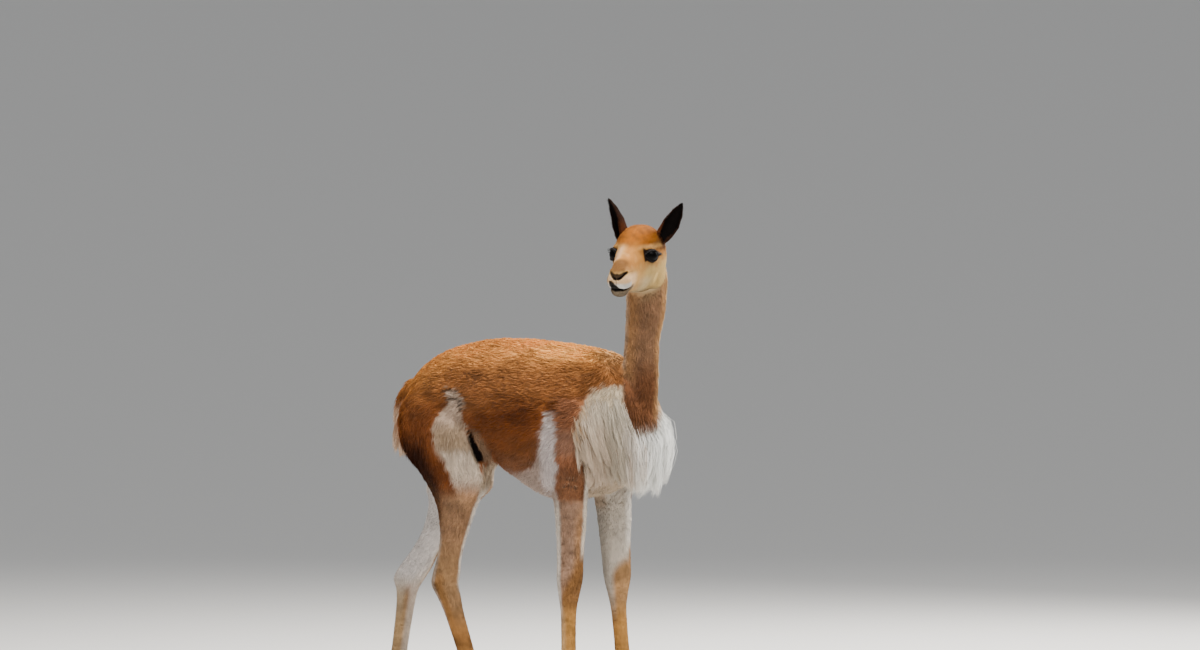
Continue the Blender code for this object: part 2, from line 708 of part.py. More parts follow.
def lock(name, root, out, fall, length, width, thick, lift, sway, home):
    """A flat lock: it leaves the skin, bends down along the fall and narrows to its tip."""
    root, out, fall = (np.array(v, float) for v in (root, out, fall))
    side = np.cross(fall, out)
    side /= np.linalg.norm(side)
    face = np.cross(side, fall)
    reach = np.array([-0.009, 0.40 * lift, lift, 0.85 * lift, 0.40 * lift])
    drop = np.array([-0.12, 0.12, 0.42, 0.76, 1.0])
    size = np.array([0.45, 0.85, 1.0, 0.66, 0.03])
    wave = sway * np.sin(np.pi * 1.3 * np.clip(drop, 0, 1))
    line = root + np.outer(reach, out) + np.outer(drop * length, fall) + np.outer(wave, side)
    turn = np.radians(np.arange(0, 360, 60))
    flat = np.outer(np.cos(turn), side) * width + np.outer(np.sin(turn), face) * thick
    rings = line[:, None, :] + size[:, None, None] * flat[None] / 2
    return closed_rings(name, rings, home)


def bib_locks(find, home):
    """Tiers of long locks round the chest, from the sides of the neck down."""
    random = np.random.default_rng(SEED)
    for level, (height, spread, count, length, lift) in enumerate(BIB_TIERS):
        for turn in np.linspace(-spread, spread, count):
            angle = math.radians(turn + random.uniform(-3, 3))
            origin = (0.03, 0, height + random.uniform(-0.010, 0.010))
            at, normal = find(origin, (math.cos(angle), math.sin(angle), 0))
            if at is None or at.x < BIB_BACK_X:
                continue
            if height > TONGUE_LOW_Z and abs(angle) < TONGUE_HALF_TURN:
                continue
            fall = Vector((-0.06, -0.10 * math.sin(angle), -1)).normalized()
            out = Vector((normal.x + 0.10, normal.y, 0.3 * normal.z)).normalized()
            long = length * random.uniform(0.88, 1.12)
            sway = random.uniform(-0.008, 0.008)
            width = random.uniform(*BIB_LOCK_WIDTH)
            lock(f"lock_{level}", at, out, fall, long, width, BIB_LOCK_DEPTH, lift, sway, home)


def tail_piece(body):
    """The tail: a soft core and locks that hang past its tip."""
    core = blend("tail", [tube("core", TAIL, AXES_UPRIGHT, sides=16, rings=24)], 0.005, 4, 260)
    find = surface_finder(core)
    random = np.random.default_rng(SEED + 1)
    home = collection("tail_locks")
    for height, length in TAIL_TIERS:
        for turn in TAIL_TURNS:
            angle = math.radians(turn + random.uniform(-10, 10))
            at, normal = find((-0.548, 0, height), (math.cos(angle), math.sin(angle), 0))
            if at is None:
                continue
            sway = random.uniform(-0.004, 0.004)
            long = length * random.uniform(0.9, 1.1)
            lock("tail_lock", at, normal, (0.03, 0, -1), long, *TAIL_LOCK, sway, home)
    unite(core, home)
    boolean(core, grown(body, GAP), "DIFFERENCE")
    return keep_largest(core)


def material(name):
    """A plain finish in the part's colour."""
    made = bpy.data.materials.new(name)
    made.use_nodes = True
    shader = made.node_tree.nodes["Principled BSDF"]
    shader.inputs["Base Color"].default_value = (*COLOURS[name], 1.0)
    shader.inputs["Roughness"].default_value = 0.12 if name == "eye" else 0.85
    shader.inputs["Metallic"].default_value = 0.0
    return made


def finish(pieces):
    """Names, shades and colours the pieces and stands them on the frame's origin."""
    home = collection("vicuna")
    base = bpy.data.objects.new("vicuna_origin", None)
    base.location = CENTRE_SHIFT
    home.objects.link(base)
    finishes = {name: material(name) for name in COLOURS}
    for piece, colour in pieces:
        for holder in list(piece.users_collection):
            holder.objects.unlink(piece)
        home.objects.link(piece)
        piece.parent = base
        piece.data.materials.clear()
        piece.data.materials.append(finishes[colour])
        piece.data.shade_smooth()
        piece.data.set_sharp_from_angle(angle=math.radians(50))


def build():
    """Makes every piece of the animal."""
    clear_scene()
    body = body_blank()
    find = surface_finder(body)
    whole_copy = copy_of(body, "whole")
    legs = parted_legs(body)
    place = head_matrix()
    front, torso = halves(body, (CHEST_PLANE_X, 0, 0), (1, 0, 0), ("front", "torso"))
    neck_and_head, chest = halves(front, *NECK_BASE, ("neck_and_head", "chest"))
    point, normal = place @ Vector(HEAD_CUT[0]), place.to_3x3() @ Vector(HEAD_CUT[1])
    head_blank, neck = halves(neck_and_head, point, normal, ("head_blank", "neck"))
    bpy.data.objects.remove(head_blank)

    head = head_with_face()
    ears = [ear("left", head), ear("right", head)]
    eyes = [eye_spheres(0, "eye_left", 1), eye_spheres(0, "eye_right", -1)]
    feet = [foot(kind, side) for kind in ("fore", "hind") for side in ("left", "right")]

    home = collection("bib_locks")
    bib_locks(find, home)
    unite(chest, home)
    for neighbour in (torso, neck, legs["upper_foreleg_left"], legs["upper_foreleg_right"]):
        boolean(chest, grown(neighbour, CLEARANCE), "DIFFERENCE")
        keep_largest(chest)
    tail = tail_piece(whole_copy)
    bpy.data.objects.remove(whole_copy)

    pieces = [(torso, "cinnamon"), (chest, "ivory"), (neck, "fawn"), (head, "fawn"), (tail, "ivory")]
    pieces += [(piece, "dark_ear") for piece in ears] + [(piece, "eye") for piece in eyes]
    pieces += [(leg, "fawn") for leg in legs.values()]
    for made, *nails in feet:
        pieces += [(made, "fawn")] + [(nail, "nail") for nail in nails]
    finish(pieces)


build()
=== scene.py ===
"""The look of a life-size model of a vicuna: one skin, its fleece, long hair, eyes, ears and nails.

Run as a script. Sizes are in metres; +X is the way the body faces, +Y the animal's left and +Z up.
"""

import math

import bmesh
import bpy
import numpy as np
from bpy.props import FloatProperty, FloatVectorProperty, PointerProperty
from mathutils import Matrix, Vector


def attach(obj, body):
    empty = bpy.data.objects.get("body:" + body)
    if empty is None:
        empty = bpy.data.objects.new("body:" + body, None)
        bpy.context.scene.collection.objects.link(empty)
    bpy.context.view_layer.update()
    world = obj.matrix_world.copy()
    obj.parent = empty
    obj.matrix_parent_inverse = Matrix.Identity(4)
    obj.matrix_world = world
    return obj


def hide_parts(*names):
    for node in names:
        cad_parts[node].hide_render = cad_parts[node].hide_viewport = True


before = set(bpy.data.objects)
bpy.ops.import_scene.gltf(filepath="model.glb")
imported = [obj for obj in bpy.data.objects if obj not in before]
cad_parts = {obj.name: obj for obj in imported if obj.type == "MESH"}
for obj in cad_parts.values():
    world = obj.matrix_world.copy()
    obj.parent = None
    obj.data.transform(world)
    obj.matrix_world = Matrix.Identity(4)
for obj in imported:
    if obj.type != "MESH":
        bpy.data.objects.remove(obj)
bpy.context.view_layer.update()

bl_info = {
    "name": "Vicuna model",
    "version": (1, 0, 0),
    "blender": (4, 5, 0),
    "location": "3D View > Sidebar > Vicuna",
    "description": "Builds the skin, fleece, long hair, eyes, ears and nails of a life-size vicuna model",
    "category": "Object",
}

SHIFT = np.array([0.2178, 0.0335, 0.0])

# The body's sizes, as in the solids: station, centre across, half width, low side and high side.
TRUNK = [
    (-0.512, 0, 0.015, 0.695, 0.735),
    (-0.500, 0, 0.060, 0.645, 0.775),
    (-0.460, 0, 0.103, 0.595, 0.815),
    (-0.400, 0, 0.124, 0.590, 0.845),
    (-0.330, 0, 0.135, 0.594, 0.862),
    (-0.270, 0, 0.145, 0.583, 0.869),
    (-0.210, 0, 0.150, 0.552, 0.869),
    (-0.150, 0, 0.150, 0.518, 0.866),
    (-0.090, 0, 0.143, 0.496, 0.860),
    (-0.030, 0, 0.133, 0.500, 0.853),
    (0.030, 0, 0.120, 0.512, 0.841),
    (0.080, 0, 0.108, 0.530, 0.818),
    (0.125, 0, 0.090, 0.552, 0.775),
    (0.160, 0, 0.062, 0.588, 0.722),
    (0.177, 0, 0.020, 0.632, 0.678),
]
NECK = [
    (0.600, 0, 0.050, 0.010, 0.120),
    (0.650, 0, 0.052, 0.025, 0.158),
    (0.700, 0, 0.047, 0.050, 0.172),
    (0.740, 0, 0.041, 0.074, 0.176),
    (0.780, 0, 0.0375, 0.088, 0.176),
    (0.820, 0, 0.0365, 0.093, 0.176),
    (0.870, 0, 0.0370, 0.097, 0.180),
    (0.920, -0.001, 0.0390, 0.101, 0.193),
    (0.970, -0.004, 0.0415, 0.105, 0.200),
    (1.010, -0.008, 0.0420, 0.109, 0.203),
    (1.045, -0.010, 0.0380, 0.113, 0.198),
    (1.070, -0.012, 0.0200, 0.130, 0.175),
]
SKULL = [
    (-0.128, 0, 0.016, -0.030, 0.012),
    (-0.118, 0, 0.036, -0.055, 0.038),
    (-0.095, 0, 0.0525, -0.078, 0.057),
    (-0.060, 0, 0.0585, -0.088, 0.066),
    (-0.030, 0, 0.0570, -0.089, 0.064),
    (0.000, 0, 0.0490, -0.086, 0.054),
    (0.025, 0, 0.0385, -0.082, 0.040),
    (0.050, 0, 0.0325, -0.078, 0.024),
    (0.075, 0, 0.0285, -0.076, 0.009),
    (0.098, 0, 0.0265, -0.076, -0.003),
    (0.116, 0, 0.0235, -0.074, -0.012),
    (0.128, 0, 0.0160, -0.068, -0.022),
    (0.133, 0, 0.0060, -0.056, -0.036),
]
# Centre, radii and turn in degrees, in the head's own frame; one off the middle stands on both sides.
HEAD_MASSES = [
    ((-0.054, 0.031, -0.042), (0.050, 0.029, 0.042), 6),
    ((-0.004, 0.034, 0.018), (0.026, 0.014, 0.009), -14),
    ((0.110, 0.014, -0.044), (0.021, 0.0145, 0.018), 0),
    ((0.112, 0.012, -0.024), (0.013, 0.0095, 0.010), 0),
    ((0.108, 0.000, -0.069), (0.019, 0.0195, 0.0130), 0),
]
FORELEG = [
    (0.800, 0.055, 0.026, -0.055, 0.010),
    (0.740, 0.084, 0.044, -0.072, 0.052),
    (0.680, 0.094, 0.047, -0.074, 0.082),
    (0.620, 0.096, 0.045, -0.074, 0.078),
    (0.570, 0.094, 0.042, -0.069, 0.062),
    (0.530, 0.092, 0.038, -0.054, 0.052),
    (0.500, 0.091, 0.0355, -0.041, 0.049),
    (0.450, 0.090, 0.0330, -0.034, 0.044),
    (0.400, 0.089, 0.0310, -0.032, 0.039),
    (0.360, 0.089, 0.0300, -0.030, 0.036),
    (0.322, 0.089, 0.0300, -0.030, 0.034),
    (0.285, 0.089, 0.0250, -0.026, 0.026),
    (0.250, 0.089, 0.0200, -0.021, 0.019),
    (0.200, 0.089, 0.0185, -0.019, 0.018),
    (0.150, 0.089, 0.0185, -0.0185, 0.0185),
    (0.105, 0.089, 0.0205, -0.019, 0.021),
    (0.080, 0.089, 0.0225, -0.020, 0.024),
    (0.050, 0.089, 0.0170, -0.014, 0.020),
]
# Height, half width, and how far the leg reaches back and forward of its line.
HIND_SECTIONS = [
    (0.790, 0.028, 0.040, 0.040),
    (0.755, 0.050, 0.078, 0.086),
    (0.700, 0.061, 0.112, 0.104),
    (0.640, 0.062, 0.132, 0.096),
    (0.600, 0.059, 0.128, 0.086),
    (0.560, 0.053, 0.113, 0.063),
    (0.516, 0.045, 0.090, 0.054),
    (0.477, 0.037, 0.063, 0.044),
    (0.430, 0.031, 0.044, 0.035),
    (0.390, 0.0275, 0.037, 0.030),
    (0.355, 0.0255, 0.038, 0.029),
    (0.325, 0.0255, 0.041, 0.033),
    (0.298, 0.0255, 0.040, 0.035),
    (0.270, 0.0235, 0.031, 0.029),
    (0.240, 0.0205, 0.026, 0.025),
    (0.190, 0.0190, 0.023, 0.023),
    (0.140, 0.0185, 0.0215, 0.0215),
    (0.105, 0.0205, 0.022, 0.023),
    (0.080, 0.0225, 0.024, 0.026),
    (0.050, 0.0170, 0.014, 0.020),
]
# Hip, stifle, hock and fetlock: how far forward and how high.
HIND_JOINTS = {
    "right": ((-0.395, 0.740), (-0.298, 0.545), (-0.357, 0.297), (-0.272, 0.080)),
    "left": ((-0.410, 0.740), (-0.430, 0.530), (-0.618, 0.292), (-0.656, 0.080)),
}
# How far forward each foreleg is moved at elbow and fetlock, and the factor of its forearm's thickness.
FORELEG_SHIFT = {"right": (0.000, -0.004), "left": (-0.025, 0.022)}
FOREARM_SCALE = {"right": 1.00, "left": 1.10}
HINDLEG_Y = 0.092
ELBOW_Z, FETLOCK_Z = 0.570, 0.080
# A toe and its nail stand about the foot's middle: how far ahead and across, half width, low and high side.
TOE = [
    (-0.030, 0.010, 0.006, 0.012, 0.030),
    (-0.022, 0.011, 0.0115, -0.004, 0.050),
    (-0.004, 0.012, 0.0140, -0.005, 0.078),
    (0.016, 0.0130, 0.0140, -0.005, 0.072),
    (0.034, 0.0140, 0.0135, -0.005, 0.054),
    (0.050, 0.0145, 0.0125, -0.005, 0.041),
    (0.063, 0.0150, 0.0100, -0.003, 0.031),
    (0.069, 0.0150, 0.0040, 0.006, 0.018),
]
NAIL = [
    (0.040, 0.0147, 0.0030, 0.024, 0.030),
    (0.048, 0.0148, 0.0074, 0.018, 0.036),
    (0.056, 0.0149, 0.0086, 0.012, 0.038),
    (0.067, 0.0151, 0.0080, 0.004, 0.030),
    (0.077, 0.0152, 0.0054, 0.001, 0.018),
    (0.084, 0.0152, 0.0016, 0.001, 0.005),
]
TAIL = [
    (0.785, 0, 0.016, -0.505, -0.480),
    (0.770, 0, 0.026, -0.540, -0.485),
    (0.740, 0, 0.032, -0.566, -0.500),
    (0.695, 0, 0.033, -0.582, -0.520),
    (0.650, 0, 0.030, -0.580, -0.526),
    (0.617, 0, 0.022, -0.572, -0.531),
    (0.600, 0, 0.008, -0.560, -0.544),
]
# The head's own frame: its place, and its turns about Z, Y and X.
HEAD_AT = (0.184, -0.096, 1.050)
HEAD_TURN, HEAD_PITCH, HEAD_ROLL = math.radians(-70.0), math.radians(8.0), math.radians(-2.5)
EYE_AT = np.array([0.000, 0.0365, 0.000])
EYE_RADIUS = 0.0185
EYE_OUTWARD = math.radians(54.0)
EYE_OUT = np.array([math.cos(EYE_OUTWARD), math.sin(EYE_OUTWARD), 0.0])
EYE_BACK = np.array([-math.sin(EYE_OUTWARD), math.cos(EYE_OUTWARD), 0.0])
EYE_UP = np.array([0.0, 0.0, 1.0])
LID_WIDE = math.radians(61)
# Across the lids, from margin to skin: size as a share of the opening, and height over the eyeball.
LID_ROWS = [
    (1.000, -0.0012),
    (0.985, 0.0004),
    (1.010, 0.0014),
    (1.080, 0.0020),
    (1.200, 0.0021),
    (1.360, 0.0014),
    (1.500, -0.0010),
    (1.450, -0.0040),
    (1.200, -0.0050),
]
LASH_COUNT = 70
NOSTRIL_TURNS = np.radians((8, 18, 30, 42, 52))
NOSTRIL_HEIGHTS = (-0.0385, -0.0355, -0.0305, -0.0265, -0.0250)
EAR_LENGTH = 0.099
EAR_ROOT = (-0.064, 0.042, 0.026)
# Degrees of each ear's turns: to the side, backwards and about its own length.
EAR_TURNS = {"left": (-30.0, -16.0, 14.0), "right": (-22.0, -8.0, 45.0)}

# The camera, and the pixels where the photograph shows the body's origin, raised to the camera's height.
VIEW_TURN = math.radians(37)
TOWARDS_CAMERA = np.array([0.602, -0.799, 0.0])
RIGHT_OF_CAMERA = np.array([0.799, 0.602, 0.0])
CAMERA_DISTANCE = 10.0
CAMERA_HEIGHT = 0.82
PIXELS_PER_METRE = 440
PICTURE_MIDDLE = (593.5, 358)

LENGTHWISE = ((0, 1, 0), (0, 0, 1), (1, 0, 0))
UPRIGHT = ((0, 1, 0), (1, 0, 0), (0, 0, 1))
SIDES = ("left", "right")

# Skin and tufts end this far over the floor.
SKIN_FLOOR, HAIR_FLOOR = 0.0006, 0.0015
# Partings deeper than this stay free of tufts.
DEEP_PARTING = 0.0035
# A tuft's patch on the unwrap.
TUFT_PATCH = 0.003
# Layers of the fleece: name, tufts for each square metre, share of the length, points along a tuft, pieces.
FLEECE_LAYERS = (("under", 104000, 0.66, 2, 3), ("over", 35000, 1.1, 3, 2))
NECK_LAYERS = (("under", 190000, 0.75, 2), ("over", 75000, 1.1, 3))
NECK_TUFT_WIDTH = 0.0024
# Long hair: strands for each square metre, and how far their tips draw together into locks.
BIB_DENSITY, TAIL_DENSITY, BELLY_DENSITY = 345000, 110000, 20000
BIB_PULL, TAIL_PULL, BELLY_PULL = 0.7, 0.5, 0.12
BIB_STRANDS_A_PIECE = 8000
TAIL_HAIR_LENGTH, BELLY_HAIR_LENGTH, TAIL_HAIR_WIDTH = 0.080, 0.009, 0.0020


# Small tools


def linear(code):
    """An sRGB hex code as linear red, green and blue."""
    parts = np.array([int(code[i:i + 2], 16) / 255 for i in (1, 3, 5)])
    return np.where(parts <= 0.04045, parts / 12.92, ((parts + 0.055) / 1.055) ** 2.4)


def smooth(start, end, x):
    """0 before start and 1 after end, with a soft S between; start may be the larger."""
    t = np.clip((x - start) / (end - start), 0, 1)
    return t * t * (3 - 2 * t)


def unit(v):
    """Vectors brought to length 1."""
    return v / np.maximum(np.linalg.norm(v, axis=-1, keepdims=True), 1e-9)


def noise(points, wavelength, seed, waves=18):
    """A soft random field between about -1 and 1: a sum of sines in random directions."""
    random = np.random.default_rng(seed)
    ways = unit(random.normal(size=(waves, 3))) * math.tau / wavelength
    ways *= random.uniform(0.6, 1.5, size=(waves, 1))
    return np.sin(points @ ways.T + random.uniform(0, math.tau, waves)).sum(1) / math.sqrt(waves)


def paint(base, *layers):
    """The base under layers laid in order, each a hex code or a colour for each point, with its mask."""
    for colour, mask in layers:
        mask = np.clip(mask, 0, 1)[:, None]
        base = base * (1 - mask) + (linear(colour) if isinstance(colour, str) else colour) * mask
    return base


# Lofts


def smooth_rows(rows, count):
    """Rows on a Catmull-Rom curve through the given rows."""
    rows = np.array(rows, float)
    padded = np.vstack([2 * rows[0] - rows[1], rows, 2 * rows[-1] - rows[-2]])
    at = np.linspace(0, len(rows) - 1, count)
    index = np.minimum(at.astype(int), len(rows) - 2)
    t = (at - index)[:, None]
    a, b, c, d = (padded[index + k] for k in range(4))
    curve = 2 * b + (c - a) * t + (2 * a - 5 * b + 4 * c - d) * t**2
    return 0.5 * (curve + (3 * b - a - 3 * c + d) * t**3)


def ring_faces(count, sides):
    """Quads between rings of points, and a face on each end."""
    near = np.arange(sides)
    beside = (near + 1) % sides
    steps = (np.arange(count - 1) * sides)[:, None]
    quads = np.stack([near + steps, near + steps + sides, beside + steps + sides, beside + steps], axis=-1)
    return [*quads.reshape(-1, 4).tolist(), near.tolist(), (near + (count - 1) * sides)[::-1].tolist()]


def tube(rows, axes, sides=32, rings=72, fullness=0.94):
    """A closed loft: at each station a superellipse with the row's half width, low and high side."""
    across, along, station = (np.array(axis, float) for axis in axes)
    at, centre, half, low, high = smooth_rows(rows, rings).T[:, :, None]
    turn = np.linspace(0, math.tau, sides, endpoint=False)[None, :]
    side = np.sign(np.cos(turn)) * np.abs(np.cos(turn)) ** fullness
    rise = np.sign(np.sin(turn)) * np.abs(np.sin(turn)) ** fullness
    u = centre + half * side
    v = (low + high) / 2 + (high - low) / 2 * rise
    points = u[..., None] * across + v[..., None] * along + (at + 0 * turn)[..., None] * station
    return points.reshape(-1, 3), ring_faces(rings, sides)


def ellipsoid(centre, radii, turn_degrees=0.0, sides=28, rings=16):
    """A closed ellipsoid: radii times (sin a cos b, sin a sin b, cos a), turned about Z."""
    a = np.linspace(0.04, math.pi - 0.04, rings)[:, None]
    b = np.linspace(0, math.tau, sides, endpoint=False)[None, :]
    points = np.stack(np.broadcast_arrays(np.sin(a) * np.cos(b), np.sin(a) * np.sin(b), np.cos(a)), axis=-1)
    spin = np.array(Matrix.Rotation(math.radians(turn_degrees), 3, "Z"))
    return (points.reshape(-1, 3) * radii) @ spin.T + centre, ring_faces(rings, sides)


def moved(form, matrix):
    """A form's points carried by a matrix."""
    matrix = np.array(matrix)
    return form[0] @ matrix[:3, :3].T + matrix[:3, 3], form[1]


def head_matrix():
    """Carries the head's own frame to its place: tilted, pitched down, then turned."""
    turn = Matrix.Rotation(HEAD_TURN, 4, "Z") @ Matrix.Rotation(HEAD_PITCH, 4, "Y")
    return Matrix.Translation(HEAD_AT) @ turn @ Matrix.Rotation(HEAD_ROLL, 4, "X")


def to_head(points):
    """Points of the body's frame in the head's own frame: x to the nose, y to its left, z to the crown."""
    turn = np.array(head_matrix().to_3x3())
    return (points - np.array(HEAD_AT)) @ turn


def mirrored(rows, side):
    """Rows for the leg of that side: the animal's left is +Y."""
    sign = 1 if side == "left" else -1
    return [(row[0], sign * row[1], *row[2:]) for row in rows]


def foreleg_rows(side):
    """The foreleg's sections, moved along X from the elbow down."""
    top, foot = FORELEG_SHIFT[side]
    rows = []
    for z, y, half, low, high in FORELEG:
        shift = np.interp(z, (FETLOCK_Z, ELBOW_Z), (foot, top))
        scale = np.interp(z, (0.28, 0.36, 0.56, 0.64), (1, FOREARM_SCALE[side], FOREARM_SCALE[side], 1))
        rows.append((z, y, half * scale, low * scale + shift, high * scale + shift))
    return mirrored(rows, side)


def hind_line(side, z):
    """Where the line from hip to stifle, hock and fetlock runs at a height."""
    joints = np.array(HIND_JOINTS[side])[::-1]
    return np.interp(z, joints[:, 1], joints[:, 0])


def hind_rows(side):
    """The hind leg's sections, set about its line."""
    rows = []
    for z, half, back, front in HIND_SECTIONS:
        x = hind_line(side, z)
        lean = hind_line(side, z + 0.01) - hind_line(side, z - 0.01)
        spread = 1.0 + 0.5 * (lean / 0.02) ** 2
        inset = np.interp(z, (0.60, 0.79), (0.0, 0.034))
        rows.append((z, HINDLEG_Y - inset, half, x - back * spread, x + front * spread))
    return mirrored(rows, side)


def foot_centre(kind, side):
    """Where a foot stands: x and y of the fetlock's row."""
    row = (foreleg_rows(side) if kind == "fore" else hind_rows(side))[-2]
    return (row[3] + row[4]) / 2, row[1]


def toe_rows(rows, kind, side, way):
    """A toe's or nail's rows, in place."""
    x, y = foot_centre(kind, side)
    return [(x + dx, y + way * dy, half, low, high) for dx, dy, half, low, high in rows]


# Meshes


def new_object(name, mesh):
    """An object at the origin that holds the mesh."""
    made = bpy.data.objects.new(name, mesh)
    bpy.context.scene.collection.objects.link(made)
    return made


def surface(name, form, shift=True):
    """An object from points and faces."""
    mesh = bpy.data.meshes.new(name)
    mesh.from_pydata((form[0] + SHIFT * shift).tolist(), [], form[1])
    mesh.update()
    return new_object(name, mesh)


def merged(forms):
    """Several forms' points and faces as one."""
    points, faces, start = [], [], 0
    for form in forms:
        points.append(form[0])
        faces += [[start + corner for corner in face] for face in form[1]]
        start += len(form[0])
    return np.vstack(points), faces


def settle(thing):
    """Applies the object's modifiers to its mesh."""
    bpy.context.view_layer.update()
    graph = bpy.context.evaluated_depsgraph_get()
    mesh = bpy.data.meshes.new_from_object(thing.evaluated_get(graph))
    thing.modifiers.clear()
    thing.data = mesh
    return thing


def fused(name, forms, voxel, passes):
    """One soft skin round overlapping forms: remeshed, smoothed, and only its outer shell kept."""
    made = surface(name, merged(forms), shift=False)
    remesh = made.modifiers.new("fuse", "REMESH")
    remesh.mode = "VOXEL"
    remesh.voxel_size = voxel
    soften = made.modifiers.new("soften", "SMOOTH")
    soften.factor = 0.5
    soften.iterations = passes
    settle(made)
    form = bmesh.new()
    form.from_mesh(made.data)
    waiting, shells = set(form.verts), []
    while waiting:
        shell, edge = [], [waiting.pop()]
        while edge:
            vert = edge.pop()
            shell.append(vert)
            near = {e.other_vert(vert) for e in vert.link_edges} & waiting
            waiting -= near
            edge.extend(near)
        shells.append(shell)
    shells.sort(key=len)
    for shell in shells[:-1]:
        bmesh.ops.delete(form, geom=shell, context="VERTS")
    form.to_mesh(made.data)
    form.free()
    return made


def points_of(mesh):
    """A mesh's points as an array."""
    points = np.empty(len(mesh.vertices) * 3)
    mesh.vertices.foreach_get("co", points)
    return points.reshape(-1, 3)


def normals_of(mesh):
    """A mesh's point normals as an array."""
    normals = np.empty(len(mesh.vertices) * 3)
    mesh.vertex_normals.foreach_get("vector", normals)
    return normals.reshape(-1, 3)


def set_points(mesh, points):
    """Moves a mesh's points."""
    mesh.vertices.foreach_set("co", np.ascontiguousarray(points, np.float32).ravel())
    mesh.update()


def face_outwards(thing):
    """Turns all faces of an object's mesh outwards."""
    form = bmesh.new()
    form.from_mesh(thing.data)
    bmesh.ops.recalc_face_normals(form, faces=form.faces)
    form.to_mesh(thing.data)
    form.free()


def set_marking(mesh, colours):
    """Stores each point's colour as the attribute that the coat's and the skin's materials read."""
    layer = mesh.attributes.new("marking", "FLOAT_VECTOR", "POINT")
    layer.data.foreach_set("vector", np.ascontiguousarray(colours, np.float32).ravel())


# Where things are on the body


def leg_places(points):
    """For each leg: how far off its core a point is, 1 at its surface, and how far forward, -1 to 1."""
    found = {}
    for kind, rows_of in (("fore", foreleg_rows), ("hind", hind_rows)):
        for side in SIDES:
            rows = np.array(rows_of(side))[::-1]
            y, half, low, high = (np.interp(points[:, 2], rows[:, 0], rows[:, k]) for k in (1, 2, 3, 4))
            foot = smooth(0.09, 0.05, points[:, 2])
            high = high + 0.07 * foot
            half = half + 0.012 * foot
            fore_aft = (points[:, 0] - (low + high) / 2) / ((high - low) / 2)
            across = (points[:, 1] - y) / half
            found[kind, side] = np.hypot(fore_aft, across), fore_aft
    return found


def leg_weight(points, places, kind):
    """1 on that pair of legs and 0 on the trunk, with a soft change where they join."""
    off = np.minimum(places[kind, "left"][0], places[kind, "right"][0])
    near = smooth(1.55, 1.15, off)
    x, _, z = points.T
    if kind == "fore":
        return np.maximum(near, smooth(0.485, 0.465, z)) * smooth(0.69, 0.56, z) * (x > -0.2)
    below = smooth(0.575, 0.545, z) * smooth(-0.22, -0.25, x)
    return np.maximum(near, below) * smooth(0.76, 0.62, z) * (x < -0.1)


def head_weight(points):
    """1 on the head and 0 on the neck."""
    local = to_head(points)
    return smooth(-0.02, 0.012, (local[:, 0] + 0.085) * 0.747 + (local[:, 2] + 0.045) * 0.664)


def neck_weight(points):
    """1 on the neck and 0 on the chest and back."""
    off = np.hypot(points[:, 0] - 0.136, points[:, 1])
    rise = points[:, 2] + 0.5 * np.clip(points[:, 0] - 0.10, -0.1, 0.1)
    low = smooth(0.76, 0.83, rise) * smooth(0.16, 0.09, off)
    return np.maximum(low, smooth(0.90, 0.93, points[:, 2]))


def pictured(points, mirror=True):
    """Where points are seen from the photograph's side: pixels across and down. Left counts as right."""
    x, y, z = points.T
    y = -np.abs(y) if mirror else y
    nearer = x * math.sin(VIEW_TURN) - y * math.cos(VIEW_TURN)
    scale = PIXELS_PER_METRE * CAMERA_DISTANCE / (CAMERA_DISTANCE - nearer)
    across = x * math.cos(VIEW_TURN) + y * math.sin(VIEW_TURN)
    return np.stack([PICTURE_MIDDLE[0] + scale * across,
                     PICTURE_MIDDLE[1] + scale * (CAMERA_HEIGHT - z)], axis=1)


def line_distance(flat, a, b):
    """Distance from each place to the line from a to b."""
    t = np.clip(((flat - a) @ (b - a)) / ((b - a) @ (b - a)), 0, 1)
    return np.linalg.norm(flat - a - t[:, None] * (b - a), axis=1)


def within(flat, outline, soft):
    """1 inside a closed outline and 0 outside, with a soft edge of that half width."""
    near, inside = np.full(len(flat), 1e9), np.zeros(len(flat), bool)
    corners = np.array(outline, float)
    for a, b in zip(corners, np.roll(corners, -1, axis=0)):
        near = np.minimum(near, line_distance(flat, a, b))
        crosses = (a[1] > flat[:, 1]) != (b[1] > flat[:, 1])
        rise = b[1] - a[1] if b[1] != a[1] else 1.0
        inside ^= crosses & (flat[:, 0] < a[0] + (flat[:, 1] - a[1]) / rise * (b[0] - a[0]))
    return smooth(-soft, soft, np.where(inside, near, -near))


# Outlines of the markings, the partings and the painted light and shade on the right side, in the
# photograph's pixels.
# The slit between thigh and belly is darkened nearly black as painted shade.
SLIT = ((466, 429), (471, 430), (476.5, 442), (483, 453), (484.5, 462), (477, 463), (472, 452), (468, 440))
CREASES = [
    # Places, half width, depth in metres and the darkness of the painted shade in the crease.
    (((441, 391.5), (449, 389.5), (456, 391.5)), 1.3, 0.003, 0.80),
    (((449, 399), (455, 398), (459.5, 401), (460, 410)), 1.3, 0.003, 0.80),
    (((608.5, 364.5), (614, 369.5), (620.5, 376)), 1.6, 0.004, 0.85),
    (((561, 478), (569, 479.5), (577, 481)), 1.2, 0.003, 0.65),
    (((563, 486.5), (570, 487), (577, 488.5)), 1.2, 0.003, 0.60),
]
CREAM_BAND = (
    (450, 389), (457, 391), (459.5, 400), (460.5, 412), (462.5, 424), (466, 432), (469.5, 447), (476, 460),
    (482, 470), (487, 480), (488, 497), (480, 514), (466, 514), (459, 500), (453, 484), (446, 465),
    (437, 447), (434.5, 431), (438, 421), (445, 411), (448, 400))
# A painted highlight on the rim beside the slit.
SLIT_RIM = ((470, 428), (478, 431), (488, 446), (494, 459), (484, 463), (476, 441))
# Painted shade on the inward walls at the slit's mouth.
SLIT_MOUTH = ((464, 427), (474, 426), (487, 446), (489, 468), (474, 470), (463, 445))
DARK_FLANK, LIGHT_FLANK = (512, 410), (470, 399)
